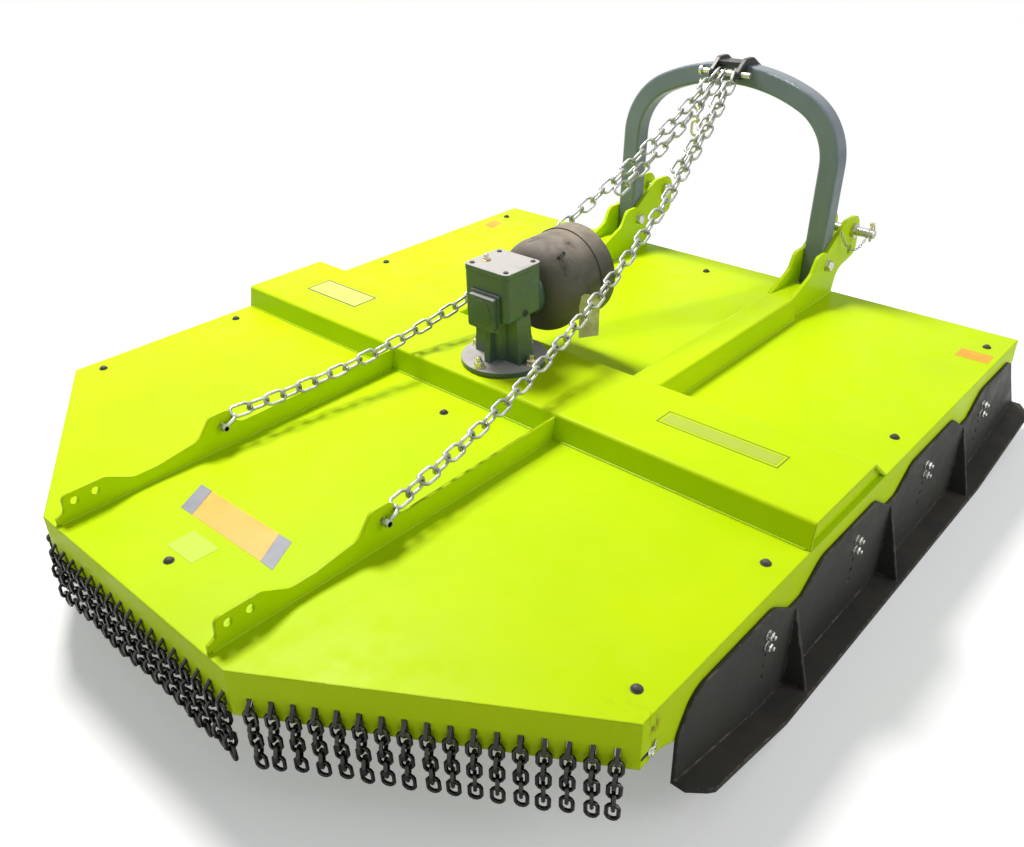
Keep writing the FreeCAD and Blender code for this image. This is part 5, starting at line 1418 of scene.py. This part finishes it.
@dataclass
class GuardTrim:
    """Latch and paper tag of the drive guard."""

    latch_at: Point = (78.0, 1228.0, 325.0)
    latch_up: Point = (0.53, -0.32, 0.79)
    latch_turn: float = 35.0
    tag_at: Point = (140.0, 1268.0, 163.0)
    tag_turn: float = 44.0
    strap: Outline = ((-12, -5), (12, -5), (14, 0), (12, 5), (-12, 5), (-14, 0))
    hook: tuple[Point, ...] = ((-9, 0, 3), (-11, 0, 9), (0, 2, 12), (10, 0, 8), (8, 0, 3))
    card: Outline = ((-26, -62), (26, -56), (28, 52), (16, 60), (-14, 62), (-26, 52))
    card_half: float = 0.4
    string: tuple[Point, ...] = ((0, 0, 52), (-2, 2, 68), (-8, 4, 84))
    string_round: float = 0.9

    def build(self) -> None:
        """Fix the latch and hang the tag."""
        strap = Shape().prism(self.strap, low=-2, high=4, chamfer=1.0)
        hook = Shape().tube(self.hook, 2.0, 6)
        lean = Vector(self.latch_up).to_track_quat("Z", "Y").to_matrix().to_4x4()
        turn = Matrix.Rotation(math.radians(self.latch_turn), 4, "Z")
        place = Matrix.Translation(Vector(self.latch_at)) @ lean @ turn
        add_piece("guard_latch", strap.join(hook).moved(place), "rubber")
        card = Shape().prism(self.card, -self.card_half, self.card_half)
        turn = Matrix.Rotation(math.radians(self.tag_turn), 4, "Z")
        upright = turn @ Matrix.Rotation(math.radians(90), 4, "X")
        add_piece("guard_tag", card.moved(Matrix.Translation(Vector(self.tag_at)) @ upright), "paper_tag")
        places = [Vector(self.tag_at) + Vector(offset) for offset in self.string]
        add_piece("tag_string", Shape().tube(places, self.string_round, 6), "rubber")


@dataclass
class CornerTrim:
    """Clips at the ends of the curtain rods where they show through the side skirts."""

    proud: float = 2.5
    rod_y: float = 392.0
    rod_z: float = -86.0
    slot_shade_outline: Outline = ((-15, -4), (6, -4), (9, 0), (6, 4), (-15, 4), (-18, 0))
    clip_at: tuple[float, float] = (12.0, -2.0)
    clip_round: float = 9.0
    clip_wave: float = 1.5
    clip_wire: float = 2.0
    clip_tail: Outline = ((-10, 1), (2, 3), (10, 20))

    def build(self) -> None:
        """Put a black sheet of painted slot shade and the rod's clip on each side."""
        for side in Side:
            self.slot(side)
            self.clip(side)

    def slot(self, side: Side) -> None:
        """A black sheet on the side skirt: painted shade of the slot that the rod's end stands in."""
        slot = Shape().prism(self.slot_shade_outline, low=-0.2, high=0.4)
        outwards = Matrix.Rotation(math.radians(90 * side.value), 4, "Y")
        along = Matrix.Rotation(math.radians(90), 4, "Z")
        place = Matrix.Translation(side.point(DECK.half, self.rod_y, self.rod_z)) @ outwards @ along
        add_piece("rod_slot_" + side.tag, slot.moved(place), "dark_hole")

    def clip(self, side: Side) -> None:
        """The ring through the rod's end, with its tail."""
        x, y, z = DECK.half + self.proud, self.rod_y + self.clip_at[0], self.rod_z + self.clip_at[1]
        ring = [side.point(x + self.clip_wave * math.sin(math.radians(2 * turn)),
                           y + self.clip_round * math.cos(math.radians(turn)),
                           z + self.clip_round * math.sin(math.radians(turn))) for turn in range(0, 360, 40)]
        clip = Shape().tube(ring, self.clip_wire, 6, closed=True)
        tail = [side.point(x, y + forward, z + up) for forward, up in self.clip_tail]
        clip.join(Shape().tube(tail, self.clip_wire, 6))
        add_piece("rod_clip_" + side.tag, clip, "bright_pin")


@dataclass
class RotorTrim:
    """Nuts under the cutter's dish that turn with it."""

    axis_y: float = 1091.0
    bolt_circle: float = 70.0
    dish_low: float = -220.0

    def build(self) -> None:
        """Place the nuts."""
        ring = [((x, self.axis_y + y, self.dish_low), (0.0, 0.0, -1.0))
                for x, y in ring_of(self.bolt_circle, 60, start=30)]
        copies("dish_bolts", bolt(across=19, head=8, washer=12), ring, "machined", seed=8, body="rotor")


# ------------------------------------------------------------------ studio


@dataclass(frozen=True)
class Lamp:
    """One square soft lamp, its place and size in metres."""

    name: str
    place: Point
    size: float
    watts: float
    colour: Colour

    def build(self, aim: Point) -> None:
        """Hang it and turn it towards what it lights."""
        data = bpy.data.lights.new(self.name, "AREA")
        data.energy = self.watts
        data.size = self.size
        data.color = self.colour
        lamp = bpy.data.objects.new(self.name, data)
        lamp.location = self.place
        lamp.rotation_euler = (Vector(aim) - Vector(self.place)).to_track_quat("-Z", "Y").to_euler()
        bpy.context.scene.collection.objects.link(lamp)


@dataclass(frozen=True)
class Studio:
    """Camera, floor, backdrop and soft lamps."""

    azimuth: float = 42.632
    elevation: float = 30.749
    roll: float = -1.335
    place: Point = (1.50639, -1.66940, 1.49228)
    lens: float = 33.045
    sensor: float = 36.0
    view_end: float = 60.0
    aim: Point = (0.0, 0.0, 0.3)
    # The key stands above on the left, the weak fill on the right.
    lamps: tuple[Lamp, ...] = (Lamp("key", (-2.2, 0.5, 4.4), 1.3, 300.0, (1.0, 0.985, 0.95)),
                               Lamp("fill", (3.6, 1.2, 2.0), 2.2, 42.0, (0.97, 0.98, 1.0)))
    floor_reach: float = 14.0
    floor_low: float = -0.0005
    floor_colour: Colour = (0.88, 0.88, 0.88)
    floor_glow: float = 0.30
    floor_fade: tuple[float, float] = (1.3, 2.6)
    sky_colour: Colour = (0.93, 0.96, 1.0)
    sky_strength: float = 0.26

    def camera(self) -> None:
        """Set the camera at the viewing angle."""
        turn, rise, roll = (math.radians(value) for value in (self.azimuth, self.elevation, self.roll))
        back = Vector((math.sin(turn) * math.cos(rise), -math.cos(turn) * math.cos(rise), math.sin(rise)))
        level = (-back).cross(Vector(UP)).normalized()
        upright = level.cross(-back)
        right = level * math.cos(roll) + upright * math.sin(roll)
        over = upright * math.cos(roll) - level * math.sin(roll)
        data = bpy.data.cameras.new("camera")
        data.lens = self.lens
        data.sensor_width = self.sensor
        data.clip_end = self.view_end
        camera = bpy.data.objects.new("camera", data)
        camera.matrix_world = Matrix((
            (right.x, over.x, back.x, self.place[0]),
            (right.y, over.y, back.y, self.place[1]),
            (right.z, over.z, back.z, self.place[2]),
            (0, 0, 0, 1)))
        bpy.context.scene.collection.objects.link(camera)
        bpy.context.scene.camera = camera

    def floor(self) -> None:
        """A wide floor that keeps the machine's shadow."""
        mesh = bpy.data.meshes.new("floor")
        corners = [(self.floor_reach * x, self.floor_reach * y, self.floor_low)
                   for x, y in ((-1, -1), (1, -1), (1, 1), (-1, 1))]
        mesh.from_pydata(corners, [], [(0, 1, 2, 3)])
        mesh.materials.append(self.floor_material())
        piece = bpy.data.objects.new("floor", mesh)
        bpy.context.scene.collection.objects.link(piece)

    def floor_material(self) -> bpy.types.Material:
        """Pale near the machine, white to the camera further out, and clear to a camera below it."""
        material = bpy.data.materials.new("pale_floor")
        material.use_nodes = True
        tree = Tree(material.node_tree)
        seen = tree.node("ShaderNodeLightPath").outputs["Is Camera Ray"]
        pale = tree.node("ShaderNodeBsdfDiffuse", self.floor_colour).outputs[0]
        none, glow, white = (tree.fed("ShaderNodeEmission", Strength=strength).outputs[0]
                            for strength in (0.0, self.floor_glow, 1.0))
        lifted = tree.node("ShaderNodeMixShader", seen, none, glow).outputs[0]
        near = tree.node("ShaderNodeAddShader", pale, lifted).outputs[0]
        away = tree.node("ShaderNodeVectorMath", tree.node("ShaderNodeTexCoord").outputs["Object"],
                         operation="LENGTH").outputs["Value"]
        fade = tree.node("ShaderNodeMapRange", away, *self.floor_fade, interpolation_type="SMOOTHSTEP")
        share = tree.node("ShaderNodeMath", fade.outputs["Result"], seen, operation="MULTIPLY").outputs[0]
        whole = tree.node("ShaderNodeMixShader", share, near, white).outputs[0]
        back = tree.node("ShaderNodeNewGeometry").outputs["Backfacing"]
        below = tree.node("ShaderNodeMath", back, seen, operation="MULTIPLY").outputs[0]
        clear = tree.node("ShaderNodeBsdfTransparent").outputs[0]
        shown = tree.node("ShaderNodeMixShader", below, whole, clear).outputs[0]
        tree.node("ShaderNodeOutputMaterial", shown)
        return material

    def world(self) -> None:
        """White to the camera and in reflections, softer as light."""
        world = bpy.data.worlds.new("studio")
        bpy.context.scene.world = world
        world.use_nodes = True
        tree = Tree(world.node_tree)
        rays = tree.node("ShaderNodeLightPath").outputs
        mirrored = tree.node("ShaderNodeMath", rays["Is Glossy Ray"], rays["Is Transmission Ray"],
                             operation="MAXIMUM").outputs[0]
        seen = tree.node("ShaderNodeMath", rays["Is Camera Ray"], mirrored, operation="MAXIMUM").outputs[0]
        soft = tree.node("ShaderNodeBackground", self.sky_colour, self.sky_strength).outputs[0]
        white = tree.node("ShaderNodeBackground", (1.0, 1.0, 1.0), 1.0).outputs[0]
        tree.node("ShaderNodeOutputWorld", tree.node("ShaderNodeMixShader", seen, soft, white).outputs[0])

    def build(self) -> None:
        """Set up the whole studio."""
        bpy.context.scene.view_settings.view_transform = "Standard"
        self.camera()
        for lamp in self.lamps:
            lamp.build(self.aim)
        self.floor()
        self.world()
        LOG.info("studio is set")


def main() -> None:
    """Dress the machine and light it."""
    logging.basicConfig(level=logging.INFO, format="%(message)s")
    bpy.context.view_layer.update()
    Studio().build()
    for assembly in (Bodywork(), ChainCurtains(), StayChains(), Fasteners(), GearboxTrim(), HitchTrim(),
                     Stickers(), Welds(), GuardTrim(), CornerTrim(), RotorTrim()):
        LOG.info("%s", type(assembly).__name__)
        assembly.build()
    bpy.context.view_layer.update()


if __name__ == "__main__":
    main()
